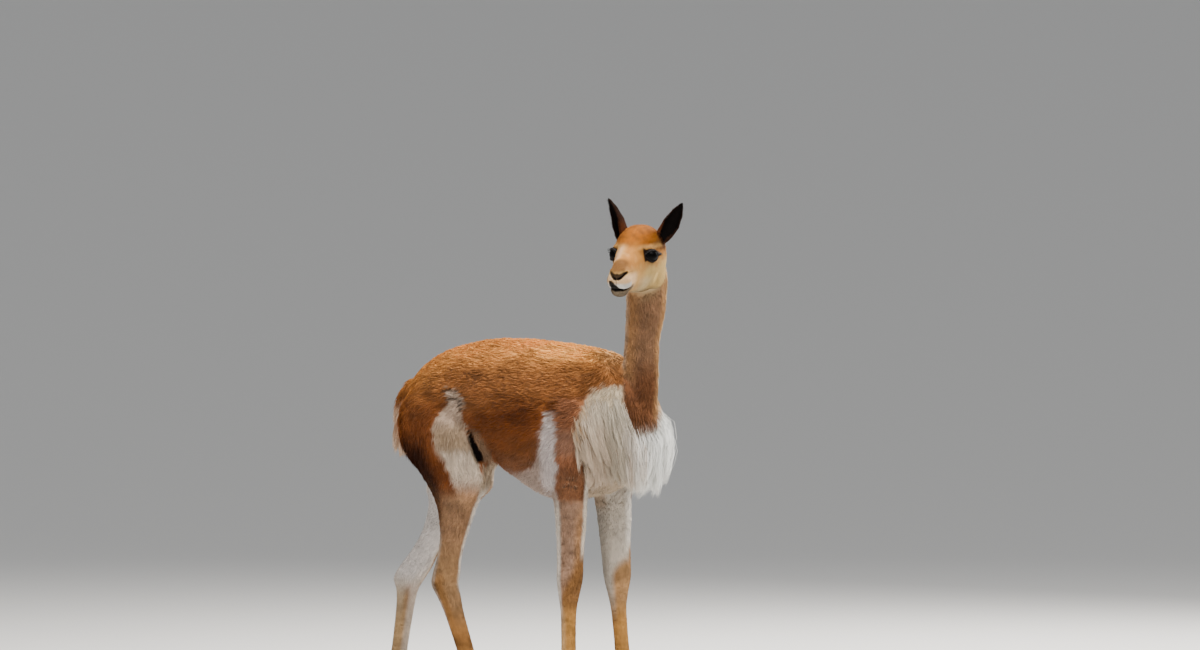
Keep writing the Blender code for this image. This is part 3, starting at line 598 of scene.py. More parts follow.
PALE_FLANK = (
    (470, 452), (483, 460), (492, 466), (505, 471), (518, 472), (527, 469), (535, 462.5), (538.5, 450),
    (540, 434), (543, 421.5), (546, 415), (551, 412.5), (555.5, 414), (557.5, 425), (558, 456),
    (556.5, 490), (556, 560), (470, 560))
PALE_BLAZE = (
    (541, 445), (543, 428), (547, 417), (553, 417), (556, 428), (556.5, 460), (555, 490), (546, 492),
    (541, 470))
BROWN_BAND = (
    (557, 400), (585, 398), (577, 420), (577, 435), (582, 457), (587, 472), (591, 484), (591, 498),
    (559, 499), (558, 456), (557.5, 425))
BIB_AREA = (
    (590, 393), (600, 388), (610, 385), (622, 387), (700, 380), (700, 506), (600, 506), (595, 498),
    (590, 486), (586, 472), (581, 456), (576.5, 434), (578, 418), (585.5, 405))
TONGUE = (
    (622.5, 360), (622.5, 400), (624, 415), (628, 428), (637, 437), (647, 438), (655, 431), (659, 418),
    (661, 400), (668, 360))
# Where markings and painted light set in, in these pixels: rows run down and columns across, each pair from
# none to all of it.
TONGUE_ROWS = (448, 421)
LOW_FLANK_ROWS = (448, 466)
BAND_EDGE_ROWS, BAND_CREAM_ROWS, BAND_DULL_ROWS = (482, 466), (500, 478), (456, 446)
BAND_TOP_ROWS, BAND_LOW_ROWS = (434, 415), (470, 500)
GREY_BROWN_ROWS, GREY_BROWN_END_ROWS, DARK_BROWN_ROWS = (424, 436), (462, 448), (462, 480)
CHEST_WHITE_COLUMNS = (625, 655)
BIB_LONG_COLUMNS, BIB_WHITE_COLUMNS, BIB_CREAM_COLUMNS = (576, 592), (604, 660), (635, 615)
BIB_SHADE_COLUMNS, BIB_SHADE_END_COLUMNS = (598, 608), (626, 612)


def fold_masks(points):
    """How far each point lies in a parting, with the parting's depth and the darkness of the painted shade in
    it.
    """
    flat = pictured(points)
    near_side = smooth(-0.01, -0.05, points[:, 1])
    masks = [(within(flat, SLIT, 1.6) * near_side, 0.013, 0.985)]
    for line, half, depth, dark in CREASES:
        line = np.array(line, float)
        near = np.min([line_distance(flat, a, b) for a, b in zip(line[:-1], line[1:])], axis=0)
        masks.append((np.exp(-(near / half) ** 2) * near_side, depth, dark))
    return masks


def nostril_distance(local):
    """Distance to the nostrils' slits, measured round the nose, in the head's frame."""
    turn = np.abs(np.arctan2(local[:, 1], local[:, 0] - 0.100))
    over = np.maximum(np.abs(turn - np.radians(30)) - np.radians(22), 0) * 0.03
    rise = local[:, 2] - np.interp(turn, NOSTRIL_TURNS, NOSTRIL_HEIGHTS)
    return np.hypot(rise, over) + 0.1 * (local[:, 0] < 0.09)


def mouth_height(local):
    """How far above the line between the lips a point lies, and how far round the muzzle it is."""
    turn = np.abs(np.arctan2(local[:, 1], local[:, 0] - 0.092))
    return local[:, 2] - (-0.0630 + 0.007 * np.maximum(0, turn - 0.5)), turn


def nose_pad(local):
    """1 on the dark bare skin between and over the nostrils, which narrows towards their outer ends."""
    turn = np.abs(np.arctan2(local[:, 1], local[:, 0] - 0.100))
    rise = local[:, 2] - np.interp(turn, NOSTRIL_TURNS, NOSTRIL_HEIGHTS)
    top = np.interp(turn, np.radians((0, 25, 45, 62)), (0.0125, 0.0085, 0.0040, 0.0))
    low = np.interp(turn, np.radians((0, 40, 62)), (-0.0022, -0.0020, 0.0))
    inside = smooth(low - 0.0012, low + 0.0012, rise) * smooth(top + 0.0022, top - 0.0022, rise)
    return inside * (local[:, 0] > 0.09)


def lip_corner(local):
    """1 in the gap of the lips, painted dark as shade, which rises from the mouth's middle round the muzzle's
    right side.
    """
    flat = local[:, 1:]
    gap = ((-0.0200, -0.0430), (-0.0120, -0.0435), (-0.0040, -0.0510), (0.0060, -0.0585), (0.0125, -0.0605),
           (0.0125, -0.0655), (-0.0040, -0.0670), (-0.0135, -0.0640), (-0.0200, -0.0540))
    return within(flat, gap, 0.0016) * smooth(0.090, 0.100, local[:, 0])


def eye_angles(local):
    """Angles along and above the eye's outward axis, and the distance from its centre."""
    v = local - EYE_AT * np.where(local[:, 1:2] < 0, (1, -1, 1), (1, 1, 1))
    v[:, 1] *= np.where(local[:, 1] < 0, -1, 1)
    reach = np.linalg.norm(v, axis=1)
    along = np.arctan2(v @ EYE_BACK, v @ EYE_OUT)
    above = np.arcsin(np.clip(v[:, 2] / np.maximum(reach, 1e-9), -1, 1))
    return along, above + 0.06 * along, reach


def lid_height(upper):
    """Angle from the eye's middle to the upper or lower lid, and how far the corners narrow it."""
    return np.radians(np.where(upper, 37, 33)), np.where(upper, 0.14, 0.45)


def lid_ratio(along, above):
    """Less than 1 inside the eye's almond opening and more than 1 outside."""
    wide, high, narrow = LID_WIDE, *lid_height(above > 0)
    opening = high * (1 - narrow * np.minimum((along / wide) ** 2, 1))
    return np.sqrt((along / wide) ** 2 + (above / opening) ** 2)


def coat_depth(points):
    """How far the skin lies inside the coat's outer face."""
    z = points[:, 2]
    depth = np.interp(z, (0.0, 0.10, 0.30, 0.45, 0.60), (0.001, 0.0015, 0.002, 0.004, 0.006))
    depth = depth + (0.0030 - depth) * neck_weight(points)
    local = to_head(points)
    face = np.interp(local[:, 0], (-0.06, 0.0, 0.07), (0.0042, 0.0020, 0.0010))
    face = face + 0.002 * smooth(0.025, 0.055, local[:, 2])
    return depth + (face - depth) * head_weight(points)


# Markings and painted light: the same colours for skin and coat


def head_marking(points):
    """Crown, bridge, cheeks, muzzle, bare skin and eye rims, in the head's own frame, with painted light and
    shade.
    """
    local = to_head(points)
    x, y, z = local.T
    patchy = noise(local, 0.024, 61)
    forehead = smooth(0.017, 0.030, z + 0.5 * np.clip(y, -0.02, 0.03) + 0.003 * patchy)
    forehead = forehead * smooth(0.060, 0.035, x)
    crown = smooth(0.014, 0.040, z + 0.30 * x + 0.004 * patchy) * smooth(0.060, 0.020, x)
    crown_patches = smooth(0.022, 0.045, z) * smooth(0.045, 0.015, x) * smooth(-0.3, 0.9, patchy)
    brow = smooth(0.012, 0.020, z) * smooth(0.030, 0.020, z) * smooth(0.016, 0.026, np.abs(y))
    cream = smooth(-0.002, -0.034, z + 0.15 * np.clip(x, -0.05, 0.05) + 0.005 * patchy)
    cheek = smooth(-0.036, -0.056, z) * smooth(0.070, 0.040, x) * smooth(-0.02, 0.02, x)
    # Painted shade under the jaw.
    under_jaw = smooth(-0.070, -0.080, z) * smooth(0.080, 0.060, x)
    # Painted highlights: the streak and the bridge's near side are lightened along the bridge's edge.
    streak = smooth(0.034, 0.020, z) * smooth(0.006, -0.014, y)
    streak = streak * smooth(0.012, 0.045, x) * smooth(0.098, 0.065, x)
    bridge_left = smooth(0.004, 0.018, y) * smooth(0.012, 0.048, x) * smooth(0.090, 0.060, x)
    bridge = smooth(0.090, 0.075, x) * smooth(0.035, 0.055, x) * smooth(-0.004, -0.014, y)
    bridge = bridge * smooth(-0.03, -0.01, z)
    nose = smooth(0.080, 0.096, x) * smooth(0.024, 0.012, np.abs(y)) * smooth(-0.030, -0.018, z)
    height, turn = mouth_height(local)
    upper_lip = smooth(0.018, 0.010, height) * smooth(-0.001, 0.001, height) * smooth(0.080, 0.098, x)
    upper_lip = upper_lip * smooth(math.radians(82), math.radians(55), turn)
    # The line between the lips is darkened as painted shade in the gap.
    lips = smooth(0.0036, 0.0012, np.abs(height)) * smooth(math.radians(112), math.radians(60), turn)
    # The cleft of the upper lip is darkened as painted shade.
    split = smooth(0.0022, 0.0008, np.abs(y + 0.0008)) * smooth(-0.062, -0.056, z)
    split = split * smooth(-0.036, -0.042, z) * (x > 0.10)
    near_ear = np.linalg.norm(np.abs(local) - np.abs(np.array(EAR_ROOT)), axis=1)
    along, above, reach = eye_angles(local)
    ratio = lid_ratio(along, above)
    near_eye = smooth(0.034, 0.026, reach) * (np.abs(along) < 1.9)
    # The outer corner runs on backwards as a dark narrowing wedge.
    wedge = smooth(0.05, -0.05, np.abs(above - 0.10) - 0.30 * smooth(2.05, 1.1, along))
    wedge = wedge * (along > 0.9) * (along < 2.05)
    return paint(
        np.tile(linear("#A97339"), (len(points), 1)),
        ("#C0915A", smooth(0.1, 1.2, patchy) * 0.5),
        ("#6A4118", forehead * 0.95),
        ("#925412", crown),
        ("#70421A", crown_patches * 0.7),
        ("#BC9258", brow * 0.6),
        ("#CAAC70", cream * 0.9),
        ("#D0BC96", cheek * 0.7),
        # Painted shade under the jaw.
        ("#A08E72", under_jaw * 0.7),
        # Painted highlight along the bridge's near edge.
        ("#CFA468", streak * 0.65),
        ("#C48A44", bridge_left * 0.4),
        # Painted highlight on the bridge's near side.
        ("#CFA67E", bridge * 0.9),
        ("#604022", nose * 0.85),
        ("#D2AE84", smooth(0.055, 0.085, x) * smooth(-0.024, -0.036, z)),
        ("#C0BEBA", upper_lip * 0.9),
        # Painted shade on the chin below the mouth.
        ("#544D43", smooth(0.000, -0.004, height) * smooth(0.070, 0.090, x) * 0.9),
        ("#B07C48", smooth(-0.085, -0.120, x) * 0.8),
        ("#4A2812", smooth(0.026, 0.014, near_ear) * (x < -0.03) * (z > 0) * 0.9),
        # Painted shade under the eye.
        ("#6E5A42", smooth(2.2, 1.6, ratio) * smooth(0.1, -0.5, above) * near_eye * 0.6),
        ("#140A06", smooth(1.72, 1.50, ratio) * near_eye),
        ("#1A0E08", wedge * smooth(0.046, 0.040, reach)),
        ("#1D110A", nose_pad(local) * 0.96),
        # Painted shade inside the nostrils' slits.
        ("#100B09", smooth(0.0042, 0.0022, nostril_distance(local))),
        # Painted shade in the cleft of the upper lip.
        ("#5A4A3D", split * 0.6),
        # Painted shade in the gap between the lips and at its corner.
        ("#1B1512", lips * (x > 0.06)),
        ("#141010", lip_corner(local) * 0.97),
    )


def thigh_front(side, z):
    """How far forward the thigh of that side reaches at each height."""
    rows = np.array(hind_rows(side))[::-1]
    return np.interp(z, rows[:, 0], rows[:, 4])


def tongue_mask(points):
    """1 on the tongue of the neck's brown that runs down the front of the white chest."""
    flat = pictured(points, mirror=False)
    return within(flat, TONGUE, 3.0) * smooth(0.06, 0.09, points[:, 0]) * smooth(*TONGUE_ROWS, flat[:, 1])


def seen_across(place, outward):
    """Where a point of a leg is seen in the photograph: -1 at the leg's left edge and 1 at its right."""
    return 0.85 * place - 0.52 * outward


def foreleg_marking(points, normals, place):
    """Brown above, grey tan below with pale edges, a warmer knee and a golden cannon."""
    y, z = points[:, 1], points[:, 2]
    left = y > 0
    outward = np.where(left, 1, -1) * normals[:, 1]
    seen = seen_across(place, outward)
    knee = np.where(left[:, None], linear("#9A7650"), linear("#7C5733"))
    cannon = smooth(0.280, 0.215, z)
    grains = smooth(0.9, 1.7, noise(points * (1, 1, 0.4), 0.010, 7)) * smooth(0.28, 0.36, z)
    left_rim = smooth(-0.58, -0.84, seen) * smooth(0.525, 0.495, z) * smooth(0.20, 0.30, z)
    right_rim = smooth(0.62, 0.82, seen) * smooth(0.355, 0.395, z) * smooth(0.60, 0.54, z)
    front_rim = smooth(0.55, 0.80, 0.85 * place + 0.52 * outward) * smooth(0.375, 0.405, z)
    front_rim = front_rim * smooth(0.56, 0.51, z)
    # The inner side is grey, but for brown that comes round the front below a line that rises forwards.
    brown_from = np.where(left, 0.335 + 0.050 * np.clip(place, -1, 1), 0.48)
    inner = np.where(left, smooth(0.45, -0.15, outward), smooth(-0.15, -0.60, outward))
    brown = smooth(-0.1, 0.5, place) * smooth(0.0, 0.035, brown_from - z)
    inner = inner * (1 - brown) * smooth(0.20, 0.32, z)
    grey = linear("#BFB5A8") * smooth(-0.5, 0.4, place)[:, None]
    grey = grey + linear("#9B9389") * smooth(0.4, -0.5, place)[:, None]
    return paint(
        np.tile(linear("#92745F"), (len(points), 1)),
        ("#A0744A", smooth(0.0, 0.6, seen) * smooth(0.52, 0.42, z) * 0.7),
        ("#6C4326", smooth(0.485, 0.515, z)),
        (knee, smooth(0.0, 0.05, 0.352 + 0.06 * seen - z)),
        ("#A3763F", cannon),
        ("#C2A076", cannon * smooth(-0.1, -0.7, seen) * 0.6),
        ("#5E4128", grains * np.where(left, 0.15, 0.5)),
        ("#C6BCB1", left_rim * 0.95),
        ("#D6CBBC", right_rim * 0.95),
        (grey, inner),
        ("#DAD3C9", front_rim * left * 0.95),
        ("#8C7358", smooth(0.465, 0.490, z) * smooth(0.3, -0.1, place) * left * 0.6),
    )


def hindleg_marking(points, normals, place):
    """Brown, darkest at the lower thigh's rear, speckled beige below, pale at the edges and inside, with
    painted shade in the fold.
    """
    y, z = points[:, 1], points[:, 2]
    left = y > 0
    outward = np.where(left, 1, -1) * normals[:, 1]
    seen = seen_across(place, outward)
    dark = smooth(0.05, -0.45, place) * smooth(0.67, 0.60, z) * smooth(0.45, 0.53, z)
    back_of_hock = smooth(-0.25, -0.60, place) * smooth(0.43, 0.47, z) * smooth(0.55, 0.52, z)
    tan = np.where(left[:, None], linear("#A08C72"), linear("#866039"))
    cannon = np.where(left[:, None], linear("#A38560"), linear("#8F6438"))
    grains = smooth(0.8, 1.6, noise(points * (1, 1, 0.4), 0.010, 8)) * smooth(0.30, 0.36, z)
    grains = grains * smooth(0.60, 0.52, z)
    right_rim = smooth(0.66, 0.84, seen) * smooth(0.27, 0.33, z) * smooth(0.57, 0.51, z)
    left_rim = smooth(-0.75, -0.95, seen) * smooth(0.44, 0.38, z)
    far_edges = smooth(0.45, 0.85, np.abs(place)) * smooth(0.36, 0.28, z) * left
    # The fold between thigh and belly faces forward; its dull grey tan is painted shade.
    fold = smooth(0.45, 0.70, place) * smooth(0.48, 0.25, outward) * smooth(0.63, 0.60, z)
    fold = fold * smooth(0.50, 0.53, z)
    return paint(
        np.tile(linear("#76411D"), (len(points), 1)),
        ("#895327", smooth(0.66, 0.74, z) * 0.8),
        ("#2C1206", dark * 0.95),
        ("#86664B", smooth(0.53, 0.49, z) * (1 - 0.7 * dark)),
        ("#8A6A4A", smooth(0.42, 0.34, z)),
        ("#4A2D17", back_of_hock * 0.8),
        (tan, smooth(0.335, 0.30, z) * smooth(0.6, 0.0, place)),
        ("#5C412A", grains * 0.5),
        ("#D0C5B8", right_rim * 0.9),
        ("#A9998A", left_rim * 0.75),
        (cannon, smooth(0.26, 0.18, z) * (1 - 0.6 * smooth(-0.4, -0.9, place))),
        ("#BFB8B4", smooth(-0.10, -0.55, outward) * smooth(0.25, 0.32, z)),
        ("#BBAFA4", far_edges * 0.7),
        # Painted shade in the fold between thigh and belly.
        ("#9C8A74", fold * 0.9),
    )


def trunk_marking(points, flat, streak):
    """Cinnamon, palest along the back, darkest on the mid flank and duller towards the belly, partly painted
    light.
    """
    x, _, z = points.T
    rear = smooth(-0.30, -0.46, x)
    dark_patch = np.hypot((flat[:, 0] - DARK_FLANK[0]) / 1.6, flat[:, 1] - DARK_FLANK[1])
    light_patch = np.hypot((flat[:, 0] - LIGHT_FLANK[0]) / 1.2, flat[:, 1] - LIGHT_FLANK[1])
    return paint(
        np.tile(linear("#955F33"), (len(points), 1)),
        # The paler back and the darker flank below are partly the coat's own colour and partly painted light
        # and shade from above.
        ("#CC8A46", smooth(0.765, 0.850, z + 0.008 * streak + 0.085 * rear)),
        # Painted highlight: the shoulder's top is lightened to gold.
        ("#F4B05C", smooth(-0.14, -0.04, x) * smooth(0.800, 0.835, z + 0.006 * streak) * 0.8),
        ("#6F3A14", smooth(0.750, 0.690, z + 0.012 * streak) * 0.9),
        ("#4F2409", smooth(26, 8, dark_patch) * 0.45),
        ("#744523", smooth(0.660, 0.600, z + 0.012 * streak) * 0.8),
        ("#7E4B24", rear * smooth(0.80, 0.74, z) * 0.7),
        ("#935D34", smooth(22, 6, light_patch) * 0.7),
        ("#7C553C", smooth(*LOW_FLANK_ROWS, flat[:, 1]) * smooth(0.66, 0.60, z) * (x < 0) * 0.6),
    )


def neck_marking(points, normals):
    """Dark brown in front, paler at the edges and cream on the far side, the cream partly painted light."""
    z = points[:, 2]
    ahead = smooth(-0.3, 0.4, normals[:, 0])
    low_front = smooth(0.84, 0.76, z) * smooth(0.35, -0.15, normals[:, 1]) * ahead
    return paint(
        np.tile(linear("#A2784F"), (len(points), 1)),
        ("#7A5B45", smooth(0.15, -0.25, normals[:, 1]) * ahead * 0.85),
        ("#663C22", low_front * 0.8),
        # Partly painted light: the far side is lightened to cream.
        ("#E4C89C", smooth(0.34, 0.76, normals[:, 1]) * 0.88),
        ("#C4AA92", smooth(-0.2, -0.7, normals[:, 0]) * smooth(-0.3, -0.7, normals[:, 1]) * 0.7),
    )


def body_marking(points, normals):
    """Trunk and legs, the thigh's cream band, the pale belly, the brown neck and the white chest, with
    painted light and shade.
    """
    x, y, z = points.T
    places = leg_places(points)
    fore, hind = leg_weight(points, places, "fore"), leg_weight(points, places, "hind")
    streak = noise(points * (0.22, 1, 1), 0.016, 3) * 0.6 + noise(points * (0.5, 1, 1), 0.06, 4) * 0.6
    flat = pictured(points)
    down = flat[:, 1]
    ragged = flat + 2.2 * np.stack([streak, noise(points * (0.4, 1, 1), 0.012, 9)], axis=1)
    outward = np.where(y > 0, 1, -1) * normals[:, 1]
    colour = trunk_marking(points, flat, streak)
    for kind, weight, legs in (("fore", fore, foreleg_marking), ("hind", hind, hindleg_marking)):
        place = np.where(y > 0, places[kind, "left"][1], places[kind, "right"][1])
        colour = colour + (legs(points, normals, place) - colour) * weight[:, None]
    # The cream band on the thigh keeps its distance from the thigh's front edge on both sides.
    shift = np.where(y > 0, thigh_front("right", z) - thigh_front("left", z), 0.0)
    moved_flat = ragged + (pictured(points + np.stack([shift, 0 * x, 0 * x], axis=1)) - flat)
    faces_out = smooth(0.0, 0.35, outward) * (x < -0.15)
    band_edge = within(moved_flat, CREAM_BAND, 7.0) * faces_out
    band = within(moved_flat, CREAM_BAND, 3.2) * faces_out
    rim = within(flat, SLIT_RIM, 2.5) * faces_out * (y < 0)
    mouth = within(flat, SLIT_MOUTH, 2.0) * smooth(0.5, 0.1, outward) * (x < -0.15) * (y < -0.05)
    # Pale belly with a band that rises behind the foreleg; the belly's grey, greyer below, is painted shade.
    belly = within(ragged, PALE_FLANK, 3.2) * (1 - hind) * (1 - fore * smooth(0.500, 0.470, z))
    brown_band = within(ragged, BROWN_BAND, 3.5) * smooth(0.2, 0.5, outward)
    grey_brown = brown_band * smooth(*GREY_BROWN_ROWS, down) * smooth(*GREY_BROWN_END_ROWS, down)
    chest = within(ragged, BIB_AREA, 5.0) * smooth(0.775, 0.750, z + 0.006 * streak) * (x > 0.0)
    on_trunk = 1 - fore * smooth(0.54, 0.50, z)
    seen = pictured(points, mirror=False)[:, 0]
    between_legs = smooth(-0.2, -0.7, normals[:, 2]) * smooth(0.62, 0.56, z) * smooth(-0.06, -0.02, x)
    tail = smooth(-0.512, -0.528, x) * smooth(0.50, 0.54, z) * smooth(0.725, 0.685, z)
    colour = paint(
        colour,
        ("#A07854", band_edge * smooth(*BAND_EDGE_ROWS, down) * 0.55),
        ("#D2C2B0", band * smooth(*BAND_CREAM_ROWS, down) * 0.92),
        ("#9C8469", band * smooth(*BAND_DULL_ROWS, down) * 0.9),
        ("#BCA593", band * smooth(*BAND_TOP_ROWS, down) * 0.8),
        ("#A98260", band * smooth(*BAND_LOW_ROWS, down) * 0.5),
        # Painted highlight along the slit's rim.
        ("#85705A", rim * 0.75),
        # Painted shade on the inward walls at the slit's mouth.
        ("#9C8B76", mouth),
        # Painted shade: the pale belly is laid on grey.
        ("#A28F84", belly),
        ("#CBC0BD", belly * within(ragged, PALE_BLAZE, 3.5) * 0.95),
        ("#8F5D3F", brown_band * 0.9),
        ("#8F6A55", grey_brown * 0.8),
        ("#6E4A32", brown_band * smooth(*DARK_BROWN_ROWS, down) * 0.8),
        # The chest is white; its creamier left and whiter right are painted shade and painted light.
        ("#C8B79C", chest * on_trunk),
        ("#EDEBE4", chest * smooth(*CHEST_WHITE_COLUMNS, seen) * on_trunk),
        ("#B29F88", between_legs),
        (neck_marking(points, normals), np.maximum(neck_weight(points), tongue_mask(points))),
        ("#CDB096", tail * 0.9),
    )
    brown = smooth(0.30, 0.60, 1 - colour[:, 2] / np.maximum(colour[:, 0], 1e-4))
    shade = 1 + (0.04 + 0.16 * brown) * streak + 0.05 * noise(points, 0.012, 5)
    return colour * np.clip(shade, 0.4, 1.6)[:, None]


def marking(points, normals):
    """The coat's colour at each point of the skin, with painted shade in the partings."""
    head = head_weight(points)[:, None]
    colour = body_marking(points, normals) * (1 - head) + head_marking(points) * head
    # Painted shade: each parting darkens the colour by its darkness.
    for mask, _, dark in fold_masks(points):
        colour = colour * (1 - dark * mask)[:, None]
    return np.clip(colour, 0.002, 1)


# Lie of the coat


def lie_of(points, normals):
    """The way the hair lies: back along the trunk, down the neck and legs, back over the head."""
    x, y, z = points.T
    n = len(points)
    drop = 0.10 + 0.55 * smooth(0.74, 0.56, z) + 1.6 * smooth(-0.38, -0.49, x) + 2.2 * smooth(0.02, 0.12, x)
    lie = unit(np.stack([-np.ones(n) + 0.7 * smooth(-0.38, -0.50, x), 0 * x, -drop], axis=1))
    places = leg_places(points)
    for kind in ("fore", "hind"):
        weight = leg_weight(points, places, kind)[:, None]
        slope = np.zeros(n)
        if kind == "hind":
            for side, sign in (("left", 1), ("right", -1)):
                lean = hind_line(side, z) - hind_line(side, z - 0.02)
                slope = np.where(sign * y > 0, -lean / 0.02, slope)
        down = unit(np.stack([slope - 0.25 * smooth(0.4, 0.6, z), 0 * x, -np.ones(n)], axis=1))
        lie = lie * (1 - weight) + down * weight
    weight = neck_weight(points)[:, None]
    lie = lie * (1 - weight) + np.array([0.0, 0.0, -1.0]) * weight
    local = to_head(points)
    back = smooth(-0.085, -0.118, local[:, 0])
    cheek = smooth(-0.01, -0.06, local[:, 2]) * smooth(0.05, 0.0, local[:, 0])
    aside = 0.15 * np.sign(local[:, 1])
    over = np.stack([-np.ones(n) + 0.6 * back, aside, -0.9 * back - 0.6 * cheek], axis=1)
    over = over @ np.array(head_matrix().to_3x3()).T
    weight = head_weight(points)[:, None]
    lie = lie * (1 - weight) + over * weight
    ruffle = np.stack([noise(points, 0.045, 20 + k) for k in range(3)], axis=1)
    fine = np.stack([noise(points, 0.012, 30 + k) for k in range(3)], axis=1)
    lie = lie + (0.16 * ruffle + 0.14 * fine) * (1 - 0.6 * weight)
    lie = lie - normals * (lie * normals).sum(1, keepdims=True)
    return unit(lie)


# Hair


def strands(name, path, across, face, width, colour, shade, uv, material, sides=3, flat=0.7):
    """Closed tapering strands: rings along each path, an end on the root, and a point at the tip."""
    count, stations = path.shape[:2]
    rings = stations - 1
    s = np.linspace(0, 1, stations)[:-1]
    taper = (0.75 + 0.9 * s - 1.25 * s**2)[None, :, None, None]
    turn = np.arange(sides) * math.tau / sides
    offset = across[:, None] * np.cos(turn)[None, :, None]
    offset = offset + face[:, None] * np.sin(turn)[None, :, None] * flat
    ring = path[:, :-1, None] + offset[:, None] * (width[:, None, None, None] / 2) * taper
    points = np.concatenate([ring.reshape(count, rings * sides, 3), path[:, -1:]], axis=1)
    faces = [[0, k + 1, k] for k in range(1, sides - 1)]
    for r in range(rings - 1):
        for k in range(sides):
            a, b = r * sides + k, r * sides + (k + 1) % sides
            faces += [[a, b, b + sides], [a, b + sides, a + sides]]
    last = (rings - 1) * sides
    faces += [[last + k, last + (k + 1) % sides, rings * sides] for k in range(sides)]
    faces = np.array(faces)
    per = rings * sides + 1
    tris = (faces[None] + (np.arange(count) * per)[:, None, None]).reshape(-1)
    mesh = bpy.data.meshes.new(name)
    mesh.vertices.add(count * per)
    mesh.vertices.foreach_set("co", (points.reshape(-1, 3) + SHIFT).astype(np.float32).ravel())
    mesh.loops.add(len(tris))
    mesh.loops.foreach_set("vertex_index", tris.astype(np.int32))
    mesh.polygons.add(len(tris) // 3)
    mesh.polygons.foreach_set("loop_start", np.arange(0, len(tris), 3, dtype=np.int32))
    mesh.polygons.foreach_set("use_smooth", np.ones(len(tris) // 3, bool))
    mesh.update(calc_edges=True)
    along = np.append(np.repeat(s, sides), 1.0)
    # Painted shade: each strand is darker at its root, by the factors in shade from root to tip.
    tone = np.interp(along, (0, 0.5, 1), shade)[None, :, None]
    set_marking(mesh, np.clip(colour[:, None, :] * tone, 0, 1).reshape(-1, 3))
    patch = np.stack([np.append(np.tile(np.cos(turn), rings), 0) * 0.5, along - 0.5], axis=1) * TUFT_PATCH
    spots = (uv[:, None, :] + patch[None]).reshape(-1, 2)[tris]
    mesh.uv_layers.new(name="OFBake").uv.foreach_set("vector", spots.astype(np.float32).ravel())
    mesh.materials.append(material)
    made = new_object(name, mesh)
    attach(made, "root")
    return made


def tuft_paths(root, normal, lie, length, rise, droop, stations, random):
    """Paths that leave the skin and bend back along the lie: root + L (s lie + rise (s - 0.7 s^2) normal)."""
    s = np.linspace(0, 1, stations)[None, :, None]
    size = length[:, None, None]
    path = root[:, None] - 0.06 * size * normal[:, None] * (1 - s)
    path = path + size * (s * lie[:, None] + rise[:, None, None] * (s - 0.7 * s**2) * normal[:, None])
    sway = random.normal(0, 0.10, (len(root), 1, 1)) * size * s**2
    across = unit(np.cross(lie, normal))
    path = path + sway * across[:, None]
    path[:, :, 2] -= (droop[:, None] * length[:, None]) * s[0, :, 0][None] ** 2
    return path, across


class Skin:
    """The finished skin's triangles, to spread roots over."""

    def __init__(self):
        mesh = bpy.data.objects["skin"].data
        mesh.calc_loop_triangles()
        tris = np.empty(len(mesh.loop_triangles) * 3, np.int32)
        mesh.loop_triangles.foreach_get("vertices", tris)
        self.points = points_of(mesh) - SHIFT
        self.normals = normals_of(mesh)
        self.tris = tris.reshape(-1, 3)
        a, b, c = (self.points[self.tris[:, k]] for k in range(3))
        self.areas = np.linalg.norm(np.cross(b - a, c - a), axis=1) / 2
        self.middles = (a + b + c) / 3

    def roots(self, density, random):
        """Points and normals spread at random, with that many for each square metre at each triangle."""
        wanted = self.areas * density
        counts = np.floor(wanted + random.uniform(size=len(wanted))).astype(int)
        which = np.repeat(np.arange(len(counts)), counts)
        r = np.sqrt(random.uniform(size=(len(which), 1)))
        t = random.uniform(size=(len(which), 1))
        a, b, c = (self.tris[which, k] for k in range(3))
        points, normals = (
            v[a] * (1 - r) + v[b] * r * (1 - t) + v[c] * r * t for v in (self.points, self.normals))
        return points, unit(normals)


def on_unwrap(around, along):
    """Places on the skin's unwrap, kept a patch away from its edges."""
    return np.clip(np.stack([around, along], axis=1), TUFT_PATCH, 1 - TUFT_PATCH)


def spread_uv(points, axis, centre, span):
    """A place on the skin's unwrap: the turn round an axis and the distance along it."""
    others = [k for k in range(3) if k != axis]
    around = np.arctan2(points[:, others[1]] - centre[1], points[:, others[0]] - centre[0]) / math.tau + 0.5
    along = (points[:, axis] - span[0]) / (span[1] - span[0])
    return on_unwrap(around, along)


# Materials


def add_node(tree, kind, settings=None, values=None, links=None):
    """Adds a node, sets its properties and socket values, and joins sockets to other nodes' outputs."""
    node = tree.nodes.new(kind)
    for key, value in (settings or {}).items():
        setattr(node, key, value)
    for key, value in (values or {}).items():
        node.inputs[key].default_value = value
    for key, source in (links or {}).items():
        tree.links.new(source, node.inputs[key])
    return node


def new_material(name, values):
    """A material with a Principled shader and those socket values."""
    made = bpy.data.materials.new(name)
    made.use_nodes = True
    shader = made.node_tree.nodes["Principled BSDF"]
    for key, value in values.items():
        shader.inputs[key].default_value = value
    return made, made.node_tree, shader


